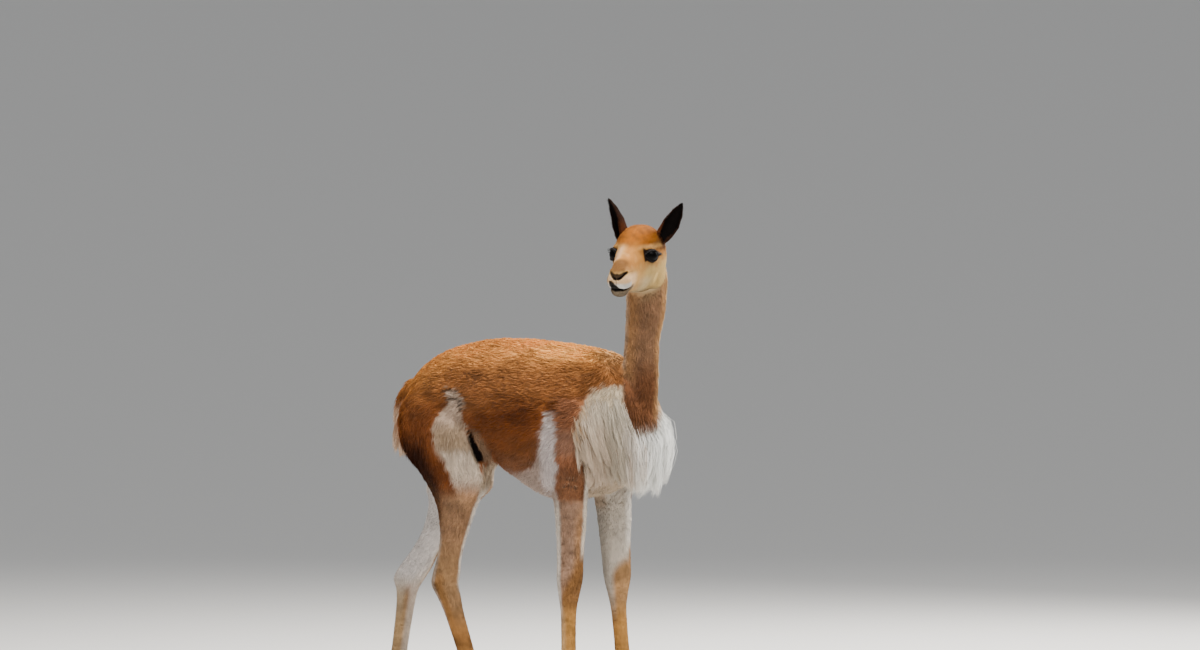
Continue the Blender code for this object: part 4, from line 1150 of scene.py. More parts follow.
def hair_material(name, roughness, sheen, mottle_mm, fibre_mm=1.0, bump=0.0):
    """Hair: the markings' colour, mottled softly, with fine fibres pressed into it where bump is above 0."""
    if name in bpy.data.materials:
        return bpy.data.materials[name]
    made, tree, shader = new_material(name, {"Roughness": roughness, "Specular IOR Level": 0.06,
                                             "Sheen Weight": sheen, "Sheen Roughness": 0.45})
    where = add_node(tree, "ShaderNodeTexCoord")
    mark = add_node(tree, "ShaderNodeAttribute", {"attribute_name": "marking"})
    blotch = add_node(tree, "ShaderNodeTexNoise", None, {"Scale": 1000 / mottle_mm, "Detail": 3.0},
                      {"Vector": where.outputs["Object"]})
    level = add_node(tree, "ShaderNodeMapRange", None,
                     {"From Min": 0.3, "From Max": 0.7, "To Min": 0.92, "To Max": 1.07},
                     {"Value": blotch.outputs["Fac"]})
    tint = add_node(tree, "ShaderNodeVectorMath", {"operation": "SCALE"}, None,
                    {0: mark.outputs["Color"], "Scale": level.outputs["Result"]})
    tree.links.new(tint.outputs["Vector"], shader.inputs["Base Color"])
    if bump:
        fibre = add_node(tree, "ShaderNodeMapping", None, {"Scale": (1.0, 1.0, 0.25)},
                         {"Vector": where.outputs["Object"]})
        fine = add_node(tree, "ShaderNodeTexNoise", None, {"Scale": 1000 / fibre_mm, "Detail": 4.0},
                        {"Vector": fibre.outputs["Vector"]})
        push = add_node(tree, "ShaderNodeBump", None, {"Strength": 0.5, "Distance": bump},
                        {"Height": fine.outputs["Fac"]})
        tree.links.new(push.outputs["Normal"], shader.inputs["Normal"])
    return made


def fleece():
    """Fine crimped underwool: dull, with a faint sheen at grazing light."""
    return hair_material("fine_fleece", 0.9, 0.03, 22)


def silk():
    """Long guard hair: straighter and a little glossier than the fleece."""
    return hair_material("long_guard_hair", 0.65, 0.1, 40)


def short_hair():
    """Short hair that lies flat on face, ears and legs: the bump is its fibres between the tufts."""
    return hair_material("short_flat_hair", 0.8, 0.0, 18, 2.5, 0.0006)


# Operators


class VICUNA_PG_body(bpy.types.PropertyGroup):
    """Sizes of the skin's mesh."""

    body_grain: FloatProperty(name="Body grain", description="Size of the body skin's faces", default=0.0048,
                              min=0.003, max=0.02, unit="LENGTH")
    head_grain: FloatProperty(name="Head grain", description="Size of the head skin's faces", default=0.0024,
                              min=0.0015, max=0.01, unit="LENGTH")


class VICUNA_PG_coat(bpy.types.PropertyGroup):
    """Sizes of the coat's tufts and long hair."""

    fleece_length: FloatProperty(name="Fleece length", description="Length of the tufts on back and flanks",
                                 default=0.024, unit="LENGTH")
    fleece_width: FloatProperty(name="Fleece width", description="Width of a tuft on back and flanks",
                                default=0.0024, unit="LENGTH")
    neck_length: FloatProperty(name="Neck length", description="Length of the tufts on the neck",
                               default=0.016, unit="LENGTH")
    leg_length: FloatProperty(name="Leg length", description="Length of the tufts on the lower legs",
                              default=0.0075, unit="LENGTH")
    face_length: FloatProperty(name="Face length", description="Length of the tufts on the face",
                               default=0.0042, unit="LENGTH")
    bib_length: FloatProperty(name="Bib length", description="Length of the longest chest hair",
                              default=0.145, unit="LENGTH")
    bib_width: FloatProperty(name="Bib hair width", description="Width of a strand of chest hair",
                             default=0.0013, unit="LENGTH")
    fullness: FloatProperty(name="Fullness", description="Number of tufts, as a share of the full coat",
                            default=1.0, min=0.05, max=1.5, subtype="FACTOR")


class VICUNA_PG_stage(bpy.types.PropertyGroup):
    """Colours and strengths of the stage."""

    floor_colour: FloatVectorProperty(name="Floor", description="Colour of the floor and backdrop", size=3,
                                      default=tuple(linear("#E4E2DE")), subtype="COLOR", min=0, max=1)
    key_power: FloatProperty(name="Key light", description="Power of the main soft light", default=230.0,
                             unit="POWER")
    rim_power: FloatProperty(name="Rim light", description="Power of the light from behind", default=220.0,
                             unit="POWER")
    top_power: FloatProperty(name="Overhead light", description="Power of the softbox above", default=330.0,
                             unit="POWER")
    sky: FloatProperty(name="Surround", description="Strength of the light from all round", default=0.45)


def head_forms():
    """The head's lofts and masses, in place."""
    forms = [tube(SKULL, LENGTHWISE, fullness=0.90)]
    for centre, radii, turn in HEAD_MASSES:
        for side in (1, -1) if centre[1] else (1,):
            forms.append(ellipsoid((centre[0], side * centre[1], centre[2]), radii, side * turn))
    for side in (1, -1):
        lid = EYE_RADIUS + 0.0026
        forms.append(ellipsoid(EYE_AT * (1, side, 1), (lid, lid, lid)))
    return [moved(form, head_matrix()) for form in forms]


def body_forms():
    """Trunk, neck, legs, toes and tail."""
    forms = [tube(TRUNK, LENGTHWISE, 48, 90), tube(NECK, UPRIGHT), tube(TAIL, UPRIGHT, 20, 30)]
    for side in SIDES:
        for kind, rows in (("fore", foreleg_rows(side)), ("hind", hind_rows(side))):
            forms.append(tube(rows, UPRIGHT, rings=90))
            forms += [tube(toe_rows(TOE, kind, side, way), LENGTHWISE, 20, 24) for way in (1, -1)]
    return forms


def sculpt_head(points, normals):
    """Presses in the sockets, nostrils and mouth and swells the lips: bells of the distance to each line."""
    local = to_head(points)
    turn = np.array(head_matrix().to_3x3())
    out = normals @ turn
    x, y, z = local.T
    height, round_it = mouth_height(local)
    here = smooth(math.radians(125), math.radians(100), round_it) * (x > 0.055)
    local = local + out * (0.0012 * np.exp(-((np.abs(height) - 0.0045) / 0.003) ** 2) * here)[:, None]
    local = local - out * (0.0042 * np.exp(-(height / 0.0018) ** 2) * here)[:, None]
    slit = nostril_distance(local)
    local = local + out * (0.0010 * np.exp(-((slit - 0.0045) / 0.002) ** 2))[:, None]
    local = local - out * (0.0065 * np.exp(-(slit / 0.0024) ** 2))[:, None]
    local = local - out * (0.0035 * lip_corner(np.stack([x, y, z], axis=1)))[:, None]
    # Inside the lids the skin drops behind the eyeball.
    along, above, reach = eye_angles(local)
    ratio = lid_ratio(along, above)
    centre = EYE_AT * np.where(y[:, None] < 0, (1, -1, 1), (1, 1, 1))
    lid = EYE_RADIUS + 0.0004
    eased = lid + (np.maximum(reach, lid) - lid) * smooth(1.25, 2.0, ratio)
    aim = np.where(ratio < 1.22, 0.82 * EYE_RADIUS, eased)
    held = np.maximum(smooth(0.0235, 0.036, reach), smooth(1.7, 1.95, np.abs(along)))
    new_reach = aim + (reach - aim) * held
    local = centre + (local - centre) * (new_reach / np.maximum(reach, 1e-9))[:, None]
    return local @ turn.T + np.array(HEAD_AT)


class VICUNA_OT_skin(bpy.types.Operator):
    """Builds one skin for trunk, neck, head, tail, legs and feet, inside the solids by the coat's depth"""

    bl_idname = "vicuna.skin"
    bl_label = "Skin"

    def execute(self, context):
        sizes = context.scene.vicuna_body
        body = fused("body", body_forms(), sizes.body_grain, 14)
        points, normals = points_of(body.data), normals_of(body.data)
        sink = 0.0025 * smooth(0.915, 0.955, points[:, 2])
        points = points - normals * (coat_depth(points) + sink)[:, None]
        for mask, depth, _ in fold_masks(points):
            points = points - normals * (mask * depth)[:, None]
        points[:, 2] = np.maximum(points[:, 2], SKIN_FLOOR)
        set_points(body.data, points)

        neck_top = [row for row in NECK if row[0] > 0.85]
        head = fused("skin", head_forms() + [tube(neck_top, UPRIGHT)], sizes.head_grain, 12)
        form = bmesh.new()
        form.from_mesh(head.data)
        middle = to_head(np.array([f.calc_center_median() for f in form.faces]))
        fine = (middle[:, 0] > 0.062) | (np.linalg.norm(np.abs(middle) - EYE_AT, axis=1) < 0.034)
        edges = {e for f, chosen in zip(form.faces, fine) if chosen for e in f.edges}
        bmesh.ops.subdivide_edges(form, edges=list(edges), cuts=1, use_grid_fill=True)
        bmesh.ops.triangulate(form, faces=form.faces)
        form.to_mesh(head.data)
        form.free()
        points, normals = points_of(head.data), normals_of(head.data)
        sink = 0.0045 * smooth(0.925, 0.885, points[:, 2])
        points = points - normals * (coat_depth(points) + sink)[:, None]
        set_points(head.data, sculpt_head(points, normals))
        join = head.modifiers.new("join", "BOOLEAN")
        join.operation = "UNION"
        join.solver = "MANIFOLD"
        join.object = body
        settle(head)
        bpy.data.objects.remove(body)
        points, normals = points_of(head.data), normals_of(head.data)
        set_marking(head.data, marking(points, normals))
        set_points(head.data, points + SHIFT)
        head.data.shade_smooth()
        head.data.materials.clear()
        head.data.materials.append(short_hair())
        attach(head, "root")
        flesh = ["torso", "chest", "neck", "head", "tail"]
        for side in SIDES:
            for kind in ("fore", "hind"):
                flesh += [f"upper_{kind}leg_{side}", f"lower_{kind}leg_{side}", f"{kind}foot_{side}"]
        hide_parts(*flesh)
        return {"FINISHED"}


def eye_direction(along, above):
    """Directions from the eye's centre at those angles along and above its outward axis."""
    level = (np.cos(above) * np.cos(along))[..., None] * EYE_OUT
    level = level + (np.cos(above) * np.sin(along))[..., None] * EYE_BACK
    return level + np.sin(above)[..., None] * EYE_UP


def lid_angles(across, turn):
    """Angles along and above the outward axis on the lids' almond, made larger by the factor across."""
    along = LID_WIDE * across * np.cos(turn)
    high, narrow = lid_height(np.sin(turn) > 0)
    return along, high * across * np.sin(turn) * (1 - narrow * np.cos(turn) ** 2) - 0.06 * along


def eyeball_form(rings=40, sides=48):
    """A ball domed at the cornea: at angle a off its axis the radius is R (1 + 0.035 exp(-(a / 0.55)^2))."""
    a = np.linspace(0.02, math.pi - 0.02, rings)[:, None]
    b = np.linspace(0, math.tau, sides, endpoint=False)[None, :]
    radius = EYE_RADIUS * (1 + 0.035 * np.exp(-(a / 0.55) ** 2))
    points = (radius * np.cos(a) + 0 * b)[..., None] * EYE_OUT
    points = points + (radius * np.sin(a) * np.cos(b))[..., None] * EYE_BACK
    points = points + (radius * np.sin(a) * np.sin(b))[..., None] * EYE_UP
    return points.reshape(-1, 3), ring_faces(rings, sides)


def lid_form(sides=64):
    """A ring round the almond, from its margin on the eyeball out to where it sinks in the skin."""
    turn = np.linspace(0, math.tau, sides, endpoint=False)[None, :]
    across, lift = np.array(LID_ROWS).T[:, :, None]
    fold = 0.0007 * np.sin(across * 26) * (across > 1.05) * (across < 1.4)
    swell = 0.0008 * np.exp(-((across - 1.12) / 0.1) ** 2) * (np.sin(turn) > 0)
    reach = EYE_RADIUS + lift + fold + swell
    points = eye_direction(*lid_angles(across, turn)) * reach[..., None]
    return points.reshape(-1, 3), ring_faces(len(LID_ROWS), sides)[:-2]


def lashes(side, sign, place, material, random):
    """Hangs curved hairs along the upper lid."""
    spot = np.radians(random.uniform(20, 160, LASH_COUNT))
    way = eye_direction(*lid_angles(1.02, spot))
    size = random.uniform(0.008, 0.013, LASH_COUNT)[:, None, None]
    s = np.linspace(0, 1, 4)[None, :, None]
    curve = s * way[:, None] * 0.8 + (s * 0.1 - 0.55 * s**2) * EYE_UP
    path = way[:, None] * (EYE_RADIUS + 0.0006) + size * curve
    path = path + size * 0.35 * s * (np.cos(spot)[:, None, None] * EYE_BACK)
    path, _ = moved((path, None), place)
    cross = np.tile(np.array(head_matrix().to_3x3()) @ (EYE_BACK * (1, sign, 1)), (LASH_COUNT, 1))
    face = np.tile(EYE_UP, (LASH_COUNT, 1))
    colour = np.tile(linear("#0C0806"), (LASH_COUNT, 1))
    uv = random.uniform(0.1, 0.9, (LASH_COUNT, 2))
    strands(f"lashes_{side}", path, cross, face, np.full(LASH_COUNT, 0.0005), colour, (1, 1, 1), uv, material)


class VICUNA_OT_eyes(bpy.types.Operator):
    """Builds the eyeballs, the lids round them and the lashes"""

    bl_idname = "vicuna.eyes"
    bl_label = "Eyes and lids"

    def execute(self, context):
        # Gloss on black, kept low because a wet eye in soft light shows only a small highlight.
        ball, _, _ = new_material("glass_eye_on_black_enamel", {
            "Base Color": (*linear("#050404"), 1), "Roughness": 0.22, "Specular IOR Level": 0.05})
        # Bare skin of the lid margins, satin and nearly black.
        rim, _, _ = new_material("dark_bare_skin", {
            "Base Color": (*linear("#0F0A08"), 1), "Roughness": 0.6, "Specular IOR Level": 0.10})
        # Stiff black hair, a little glossy along each lash.
        lash, _, _ = new_material("black_lash_hair", {
            "Base Color": (*linear("#0C0806"), 1), "Roughness": 0.5})
        random = np.random.default_rng(11)
        for side, sign in (("left", 1), ("right", -1)):
            place = head_matrix() @ Matrix.Diagonal((1, sign, 1, 1)) @ Matrix.Translation(EYE_AT)
            eye = surface(f"eyeball_{side}", moved(eyeball_form(), place))
            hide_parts(f"eye_{side}")
            lids = surface(f"eyelids_{side}", moved(lid_form(), place))
            wall = lids.modifiers.new("wall", "SOLIDIFY")
            wall.thickness = 0.0006
            settle(lids)
            lashes(side, sign, place, lash, random)
            for piece, material in ((eye, ball), (lids, rim)):
                face_outwards(piece)
                piece.data.shade_smooth()
                piece.data.materials.append(material)
                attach(piece, "root")
        return {"FINISHED"}


def ear_grid(thickness, across, along):
    """The ear's cup: radius r(s) round a bow that opens to the front, with an outer and an inner wall."""
    s = np.linspace(-0.06, 1, along)[:, None]
    half = np.linspace(-1, 1, across)
    t = np.concatenate([half, half[::-1]])[None, :]
    wall = np.concatenate([np.full(across, 0.5), np.full(across, -0.5)])[None, :] * thickness
    radius = np.interp(s, (-0.06, 0, 0.18, 0.45, 0.75, 1), (0.011, 0.0125, 0.0165, 0.0180, 0.0120, 0.0012))
    spread = np.radians(np.interp(s, (0, 0.2, 0.5, 1), (140, 112, 92, 78)))
    edge = np.sqrt(np.clip(1.02 - np.abs(t) ** 6, 0.05, 1))
    angle = spread * t
    lean_in = 0.002 * np.sin(math.pi * np.clip(s, 0, 1)) - 0.003 * s**2
    r = radius + wall * edge * np.clip((1.04 - s) * 6, 0.1, 1)
    x = -r * np.cos(angle) + 0.006 * s
    y = lean_in + r * np.sin(angle)
    return np.stack(np.broadcast_arrays(x, y, EAR_LENGTH * s), -1), s, t, wall


class VICUNA_OT_ears(bpy.types.Operator):
    """Builds the ears' cups and the short dark hair on and inside them"""

    bl_idname = "vicuna.ears"
    bl_label = "Ears"

    def execute(self, context):
        random = np.random.default_rng(12)
        for side, sign in (("left", 1), ("right", -1)):
            outward, backward, turn = (math.radians(degrees) for degrees in EAR_TURNS[side])
            lean = Matrix.Rotation(outward, 4, "X") @ Matrix.Rotation(backward, 4, "Y")
            place = head_matrix() @ Matrix.Diagonal((1, sign, 1, 1)) @ Matrix.Translation(EAR_ROOT)
            place = place @ lean @ Matrix.Rotation(turn, 4, "Z")
            points, s, t, wall = ear_grid(0.0022, 25, 40)
            rows, columns = points.shape[:2]
            form = moved((points.reshape(-1, 3), ring_faces(rows, columns)), place)
            ear = surface(f"ear_cup_{side}", form)
            face_outwards(ear)
            at, normals = form[0], normals_of(ear.data)
            inside, high, turn_at = (np.broadcast_to(v, (rows, columns)).ravel() for v in (wall < 0, s, t))
            rim = smooth(0.72, 0.98, np.abs(turn_at))
            inner_edge = smooth(-0.30, -0.85, turn_at)
            colour = paint(
                np.tile(linear("#3E200E"), (len(at), 1)),
                ("#1C0F09", smooth(0.15, 0.60, high) * 0.9),
                ("#0B0706", inside),
                ("#2C160A", rim * (1 - 0.7 * high) * 0.8),
                ("#4A2510", inner_edge * smooth(0.45, 0.20, high) * 0.9),
            )
            set_marking(ear.data, colour)
            ear.data.shade_smooth()
            ear.data.materials.append(short_hair())
            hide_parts(f"ear_{side}")
            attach(ear, "root")
            # Hair lies towards the tip, longer on the rims near the root.
            pick = random.integers(0, len(at), 6500)
            pick = pick[(high[pick] > 0.0) & (high[pick] < 0.97)]
            up = np.array((place @ Vector((0, 0, 1, 0))).xyz)
            root = at[pick] + random.normal(0, 0.0012, (len(pick), 3))
            normal = normals[pick]
            root = root - normal * ((root - at[pick]) * normal).sum(1, keepdims=True)
            lie = up + random.normal(0, 0.12, (len(pick), 3))
            lie = unit(lie - normal * (lie * normal).sum(1, keepdims=True))
            length = random.uniform(0.004, 0.007, len(pick)) * (1 + 1.0 * rim[pick] * (1 - high[pick]))
            length = length * (1 - 0.5 * high[pick])
            rise = 0.30 + 0.3 * rim[pick]
            path, across = tuft_paths(root, normal, lie, length, rise, 0 * length, 2, random)
            tone = colour[pick] * random.uniform(0.75, 1.3, (len(pick), 1))
            around = np.tile(np.linspace(0.03, 0.97, columns), rows)[pick]
            uv = np.stack([around, np.clip(high[pick], 0.01, 0.97)], axis=1)
            strands(f"ear_hair_{side}", path, across, normal, np.full(len(pick), 0.0011), tone, (0.8, 1, 1.1),
                    uv, short_hair())
        return {"FINISHED"}


class VICUNA_OT_nails(bpy.types.Operator):
    """Builds the curved nails of all toes"""

    bl_idname = "vicuna.nails"
    bl_label = "Nails"

    def execute(self, context):
        # Dark satin horn with fine streaks along the nail.
        horn, tree, shader = new_material("dark_horn", {"Roughness": 0.42, "Specular IOR Level": 0.5})
        where = add_node(tree, "ShaderNodeTexCoord")
        grain = add_node(tree, "ShaderNodeMapping", None, {"Scale": (0.15, 1.0, 1.0)},
                         {"Vector": where.outputs["Object"]})
        line = add_node(tree, "ShaderNodeTexNoise", None, {"Scale": 900.0, "Detail": 3.0},
                        {"Vector": grain.outputs["Vector"]})
        ramp = add_node(tree, "ShaderNodeValToRGB", None, None, {"Fac": line.outputs["Fac"]})
        ramp.color_ramp.elements[0].color = (*linear("#15110E"), 1)
        ramp.color_ramp.elements[1].color = (*linear("#3C3229"), 1)
        push = add_node(tree, "ShaderNodeBump", None, {"Strength": 0.3, "Distance": 0.0004},
                        {"Height": line.outputs["Fac"]})
        tree.links.new(ramp.outputs["Color"], shader.inputs["Base Color"])
        tree.links.new(push.outputs["Normal"], shader.inputs["Normal"])
        for kind in ("fore", "hind"):
            for side in SIDES:
                for way, place in ((1, "left"), (-1, "right")):
                    rows = toe_rows(NAIL, kind, side, way)
                    nail = surface(f"{kind}claw_{side}_{place}", tube(rows, LENGTHWISE, 20, 24))
                    face_outwards(nail)
                    nail.data.shade_smooth()
                    nail.data.materials.append(horn)
                    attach(nail, "root")
                    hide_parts(f"{kind}nail_{side}_{place}")
        return {"FINISHED"}


def coat_piece(name, roots, normals, length, width, rise, droop, stations, uv, material, random,
               shade=(0.85, 1.0, 1.04)):
    """Tufts over the roots, coloured by the markings at each tuft's middle, none across a deep parting."""
    lie = lie_of(roots, normals)
    middle = roots + 0.45 * length[:, None] * lie
    reached = [fold_masks(roots + share * length[:, None] * lie) for share in (0.0, 0.45, 0.9)]
    partings = [mask for masks in reached for mask, depth, _ in masks if depth > DEEP_PARTING]
    keep = np.max(partings, axis=0) < 0.4
    roots, normals, lie, middle, uv = roots[keep], normals[keep], lie[keep], middle[keep], uv[keep]
    length, width, rise, droop = length[keep], width[keep], rise[keep], droop[keep]
    path, across = tuft_paths(roots, normals, lie, length, rise, droop, stations, random)
    path[..., 2] = np.maximum(path[..., 2], HAIR_FLOOR)
    colour = marking(middle, normals) * random.uniform(0.94, 1.06, (len(roots), 1))
    return strands(name, path, across, normals, width, colour, shade, uv, material)


class VICUNA_OT_fleece(bpy.types.Operator):
    """Covers trunk, thighs and shoulders with overlapping tufts of fleece, shorter under the belly"""

    bl_idname = "vicuna.fleece"
    bl_label = "Fleece"

    def execute(self, context):
        sizes = context.scene.vicuna_coat
        random = np.random.default_rng(21)
        skin = Skin()
        z = skin.middles[:, 2]
        bare = np.maximum(head_weight(skin.middles), smooth(0.3, 0.9, neck_weight(skin.middles)))
        # Under the bib the fleece is thin, because long hair hides it.
        hidden = within(pictured(skin.middles), BIB_AREA, 3.0)
        hidden = hidden * smooth(0.755, 0.735, z) * smooth(0.55, 0.58, z)
        hidden = hidden * (skin.middles[:, 0] > 0.02) * (1 - tongue_mask(skin.middles))
        cover = (1 - bare) * smooth(0.40, 0.46, z) * (1 - 0.75 * hidden) * sizes.fullness
        # A dense short layer below and a longer, sparser one over it.
        for layer, density, share, stations, parts in FLEECE_LAYERS:
            roots, normals = skin.roots(density * cover, random)
            x, _, z = roots.T
            count = len(roots)
            under = smooth(-0.35, -0.85, normals[:, 2]) * smooth(0.66, 0.56, z)
            length = sizes.fleece_length * share * (1 - 0.30 * under) * random.uniform(0.7, 1.25, count)
            places = leg_places(roots)
            legs = np.maximum(leg_weight(roots, places, "fore"), leg_weight(roots, places, "hind"))
            length *= 1 - 0.55 * legs * smooth(0.64, 0.48, z)
            rise = 0.42 + 0.08 * noise(roots, 0.03, 41)
            width = sizes.fleece_width * random.uniform(0.65, 1.2, count)
            for k, part in enumerate(np.array_split(np.argsort(x), parts)):
                uv = spread_uv(roots[part], 0, (0.0, 0.69), (x[part].min() - 0.01, x[part].max() + 0.01))
                coat_piece(f"{layer}_fleece_{k + 1}", roots[part], normals[part], length[part], width[part],
                           rise[part], 0.12 + 0.08 * under[part], stations, uv, fleece(), random)
        return {"FINISHED"}


class VICUNA_OT_neck_coat(bpy.types.Operator):
    """Covers the neck with short fleece that lies down along it"""

    bl_idname = "vicuna.neck_coat"
    bl_label = "Neck fleece"

    def execute(self, context):
        sizes = context.scene.vicuna_coat
        random = np.random.default_rng(22)
        skin = Skin()
        head, neck = head_weight(skin.middles), neck_weight(skin.middles)
        cover = smooth(0.1, 0.6, neck) * smooth(0.95, 0.6, head) * (skin.middles[:, 2] > 0.7) * sizes.fullness
        for layer, density, share, stations in NECK_LAYERS:
            roots, normals = skin.roots(density * cover, random)
            count = len(roots)
            length = sizes.neck_length * share * random.uniform(0.7, 1.25, count)
            rise = 0.45 + 0.12 * noise(roots, 0.02, 42)
            width = NECK_TUFT_WIDTH * random.uniform(0.65, 1.2, count)
            uv = spread_uv(roots, 2, (0.14, 0.0), (0.70, 1.10))
            coat_piece(f"{layer}_neck_fleece", roots, normals, length, width, rise, np.full(count, 0.1),
                       stations, uv, fleece(), random)
        return {"FINISHED"}


class VICUNA_OT_head_coat(bpy.types.Operator):
    """Covers the head with fine short tufts, longer on crown and cheeks, but for eyes, nostrils and lips"""

    bl_idname = "vicuna.head_coat"
    bl_label = "Head hair"

    def execute(self, context):
        sizes = context.scene.vicuna_coat
        random = np.random.default_rng(23)
        skin = Skin()
        local = to_head(skin.middles)
        along, above, reach = eye_angles(local)
        open_eye = (lid_ratio(along, above) < 1.38) & (reach < 0.026)
        height, round_it = mouth_height(local)
        lips = (np.abs(height) < 0.0022) & (round_it < math.radians(115)) & (local[:, 0] > 0.06)
        bare = open_eye | lips | (nostril_distance(local) < 0.0036)
        density = np.interp(local[:, 0], (-0.05, 0.05, 0.10), (360000, 620000, 800000))
        density = density * smooth(0.05, 0.35, head_weight(skin.middles)) * ~bare * sizes.fullness
        roots, normals = skin.roots(density, random)
        local = to_head(roots)
        x, y, z = local.T
        count = len(roots)
        length = sizes.face_length * np.interp(x, (-0.09, -0.02, 0.05, 0.11), (2.6, 2.0, 1.25, 0.8))
        length *= 1 + 0.5 * smooth(0.03, 0.055, z) + 0.5 * smooth(-0.03, -0.06, z) * smooth(0.03, -0.02, x)
        along, above, reach = eye_angles(local)
        length *= 1 - 0.6 * smooth(2.2, 1.5, lid_ratio(along, above)) * smooth(0.040, 0.032, reach)
        length *= random.uniform(0.75, 1.25, count)
        rise = np.interp(x, (-0.05, 0.06), (0.45, 0.25)) + 0.08 * noise(roots, 0.012, 43)
        width = np.interp(x, (-0.05, 0.08), (0.0019, 0.0012)) * random.uniform(0.7, 1.25, count)
        around = np.arctan2(y, z + 0.02) / math.tau + 0.5
        coat_piece("head_hair", roots, normals, length, width, rise, np.zeros(count), 2,
                   on_unwrap(around, (x + 0.13) / 0.27), short_hair(), random, (0.82, 1.0, 1.06))
        return {"FINISHED"}


class VICUNA_OT_leg_coat(bpy.types.Operator):
    """Covers the lower legs and feet with short flat tufts"""

    bl_idname = "vicuna.leg_coat"
    bl_label = "Leg hair"

    def execute(self, context):
        sizes = context.scene.vicuna_coat
        random = np.random.default_rng(24)
        skin = Skin()
        z = skin.middles[:, 2]
        density = np.interp(z, (0.0, 0.08, 0.3, 0.45), (220000, 220000, 160000, 120000))
        density = density * smooth(0.47, 0.43, z) * (z > 0.004) * sizes.fullness
        roots, normals = skin.roots(density, random)
        x, y, z = roots.T
        count = len(roots)
        length = sizes.leg_length * np.interp(z, (0.02, 0.1, 0.3, 0.46), (0.7, 0.9, 1.1, 1.8))
        length *= random.uniform(0.75, 1.25, count)
        rise = 0.26 + 0.06 * noise(roots, 0.015, 44)
        width = np.interp(z, (0.05, 0.46), (0.0018, 0.0024)) * random.uniform(0.7, 1.25, count)
        for name, part in (("fore", x > -0.15), ("hind", x <= -0.15)):
            uv = spread_uv(roots[part] - np.where(y[part, None] > 0, (0, 0.09, 0), (0, -0.09, 0)), 2,
                           (x[part].mean(), 0.0), (0.0, 0.48))
            uv[:, 0] = uv[:, 0] / 2 + np.where(y[part] > 0, 0.5, 0.0)
            coat_piece(f"{name}leg_hair", roots[part], normals[part], length[part], width[part], rise[part],
                       np.zeros(part.sum()), 2, uv, short_hair(), random, (0.8, 1.0, 1.08))
        return {"FINISHED"}


def hanging(name, roots, normals, length, lift, pull, width, colour, uv, random, per_lock, stations,
            draw_in=0.0, lowest=None, shade=(0.74, 1.0, 1.03), sweep=0.0):
    """Long strands in locks: each swings out, falls, and draws towards the tip of its lock's own strand."""
    count = len(roots)
    s = np.linspace(0, 1, stations)[None, :, None]
    leaders = random.choice(count, max(6, count // per_lock), replace=False)
    gap = np.linalg.norm((roots[:, None] - roots[leaders][None]) * (1, 1, 0.55), axis=2)
    own = leaders[gap.argmin(1)]
    size = 0.4 * length + 0.6 * np.minimum(length[own], length * 1.3)
    if lowest is not None:
        lowest = (lowest + random.normal(0, 0.010, count))[own]
        size = np.minimum(size, np.maximum(roots[:, 2] - lowest, 0.02) * random.uniform(0.80, 1.0, count))
    size = size[:, None, None]
    out = unit(normals * (1, 1, 0.2) + (0.05, 0, 0))
    out = unit(0.4 * out + 0.6 * out[own])
    fall = np.array([0.0, 0.0, -1.0]) - np.reshape(draw_in, (-1, 1)) * out * (1, 1, 0)
    fall = fall + np.reshape(sweep, (-1, 1)) * (1, 0, 0)
    fall = fall + random.normal(0, 0.09, (count, 3))[own] + random.normal(0, 0.06, (count, 3))
    fall = unit(fall + random.normal(0, 0.14, (count, 3)) * (random.uniform(size=(count, 1)) < 0.04))
    reach = 0.9 * np.sin(np.pi * s**0.75) + 0.3 * s
    path = roots[:, None] - 0.004 * normals[:, None] * (1 - s) + out[:, None] * lift[:, None, None] * reach
    path = path + fall[:, None] * size * s
    across = unit(np.cross(normals, (0.0, 0.0, 1.0)))
    phase = random.uniform(0, 6, (count, 1, 1))
    bend = 0.045 * size * np.sin(4.5 * s + phase[own]) + 0.022 * size * np.sin(8 * s + phase)
    path = path + across[own][:, None] * bend * s
    towards = (path[own] - path) * np.array([1, 1, 0.3])
    path = path + towards * (pull * s**2)
    tint = colour * random.uniform(0.89, 1.07, (count, 1))[own]
    face = unit(normals * (1, 1, 0) + 1e-6)
    return strands(name, path, across, face, width, tint, shade, uv, silk())


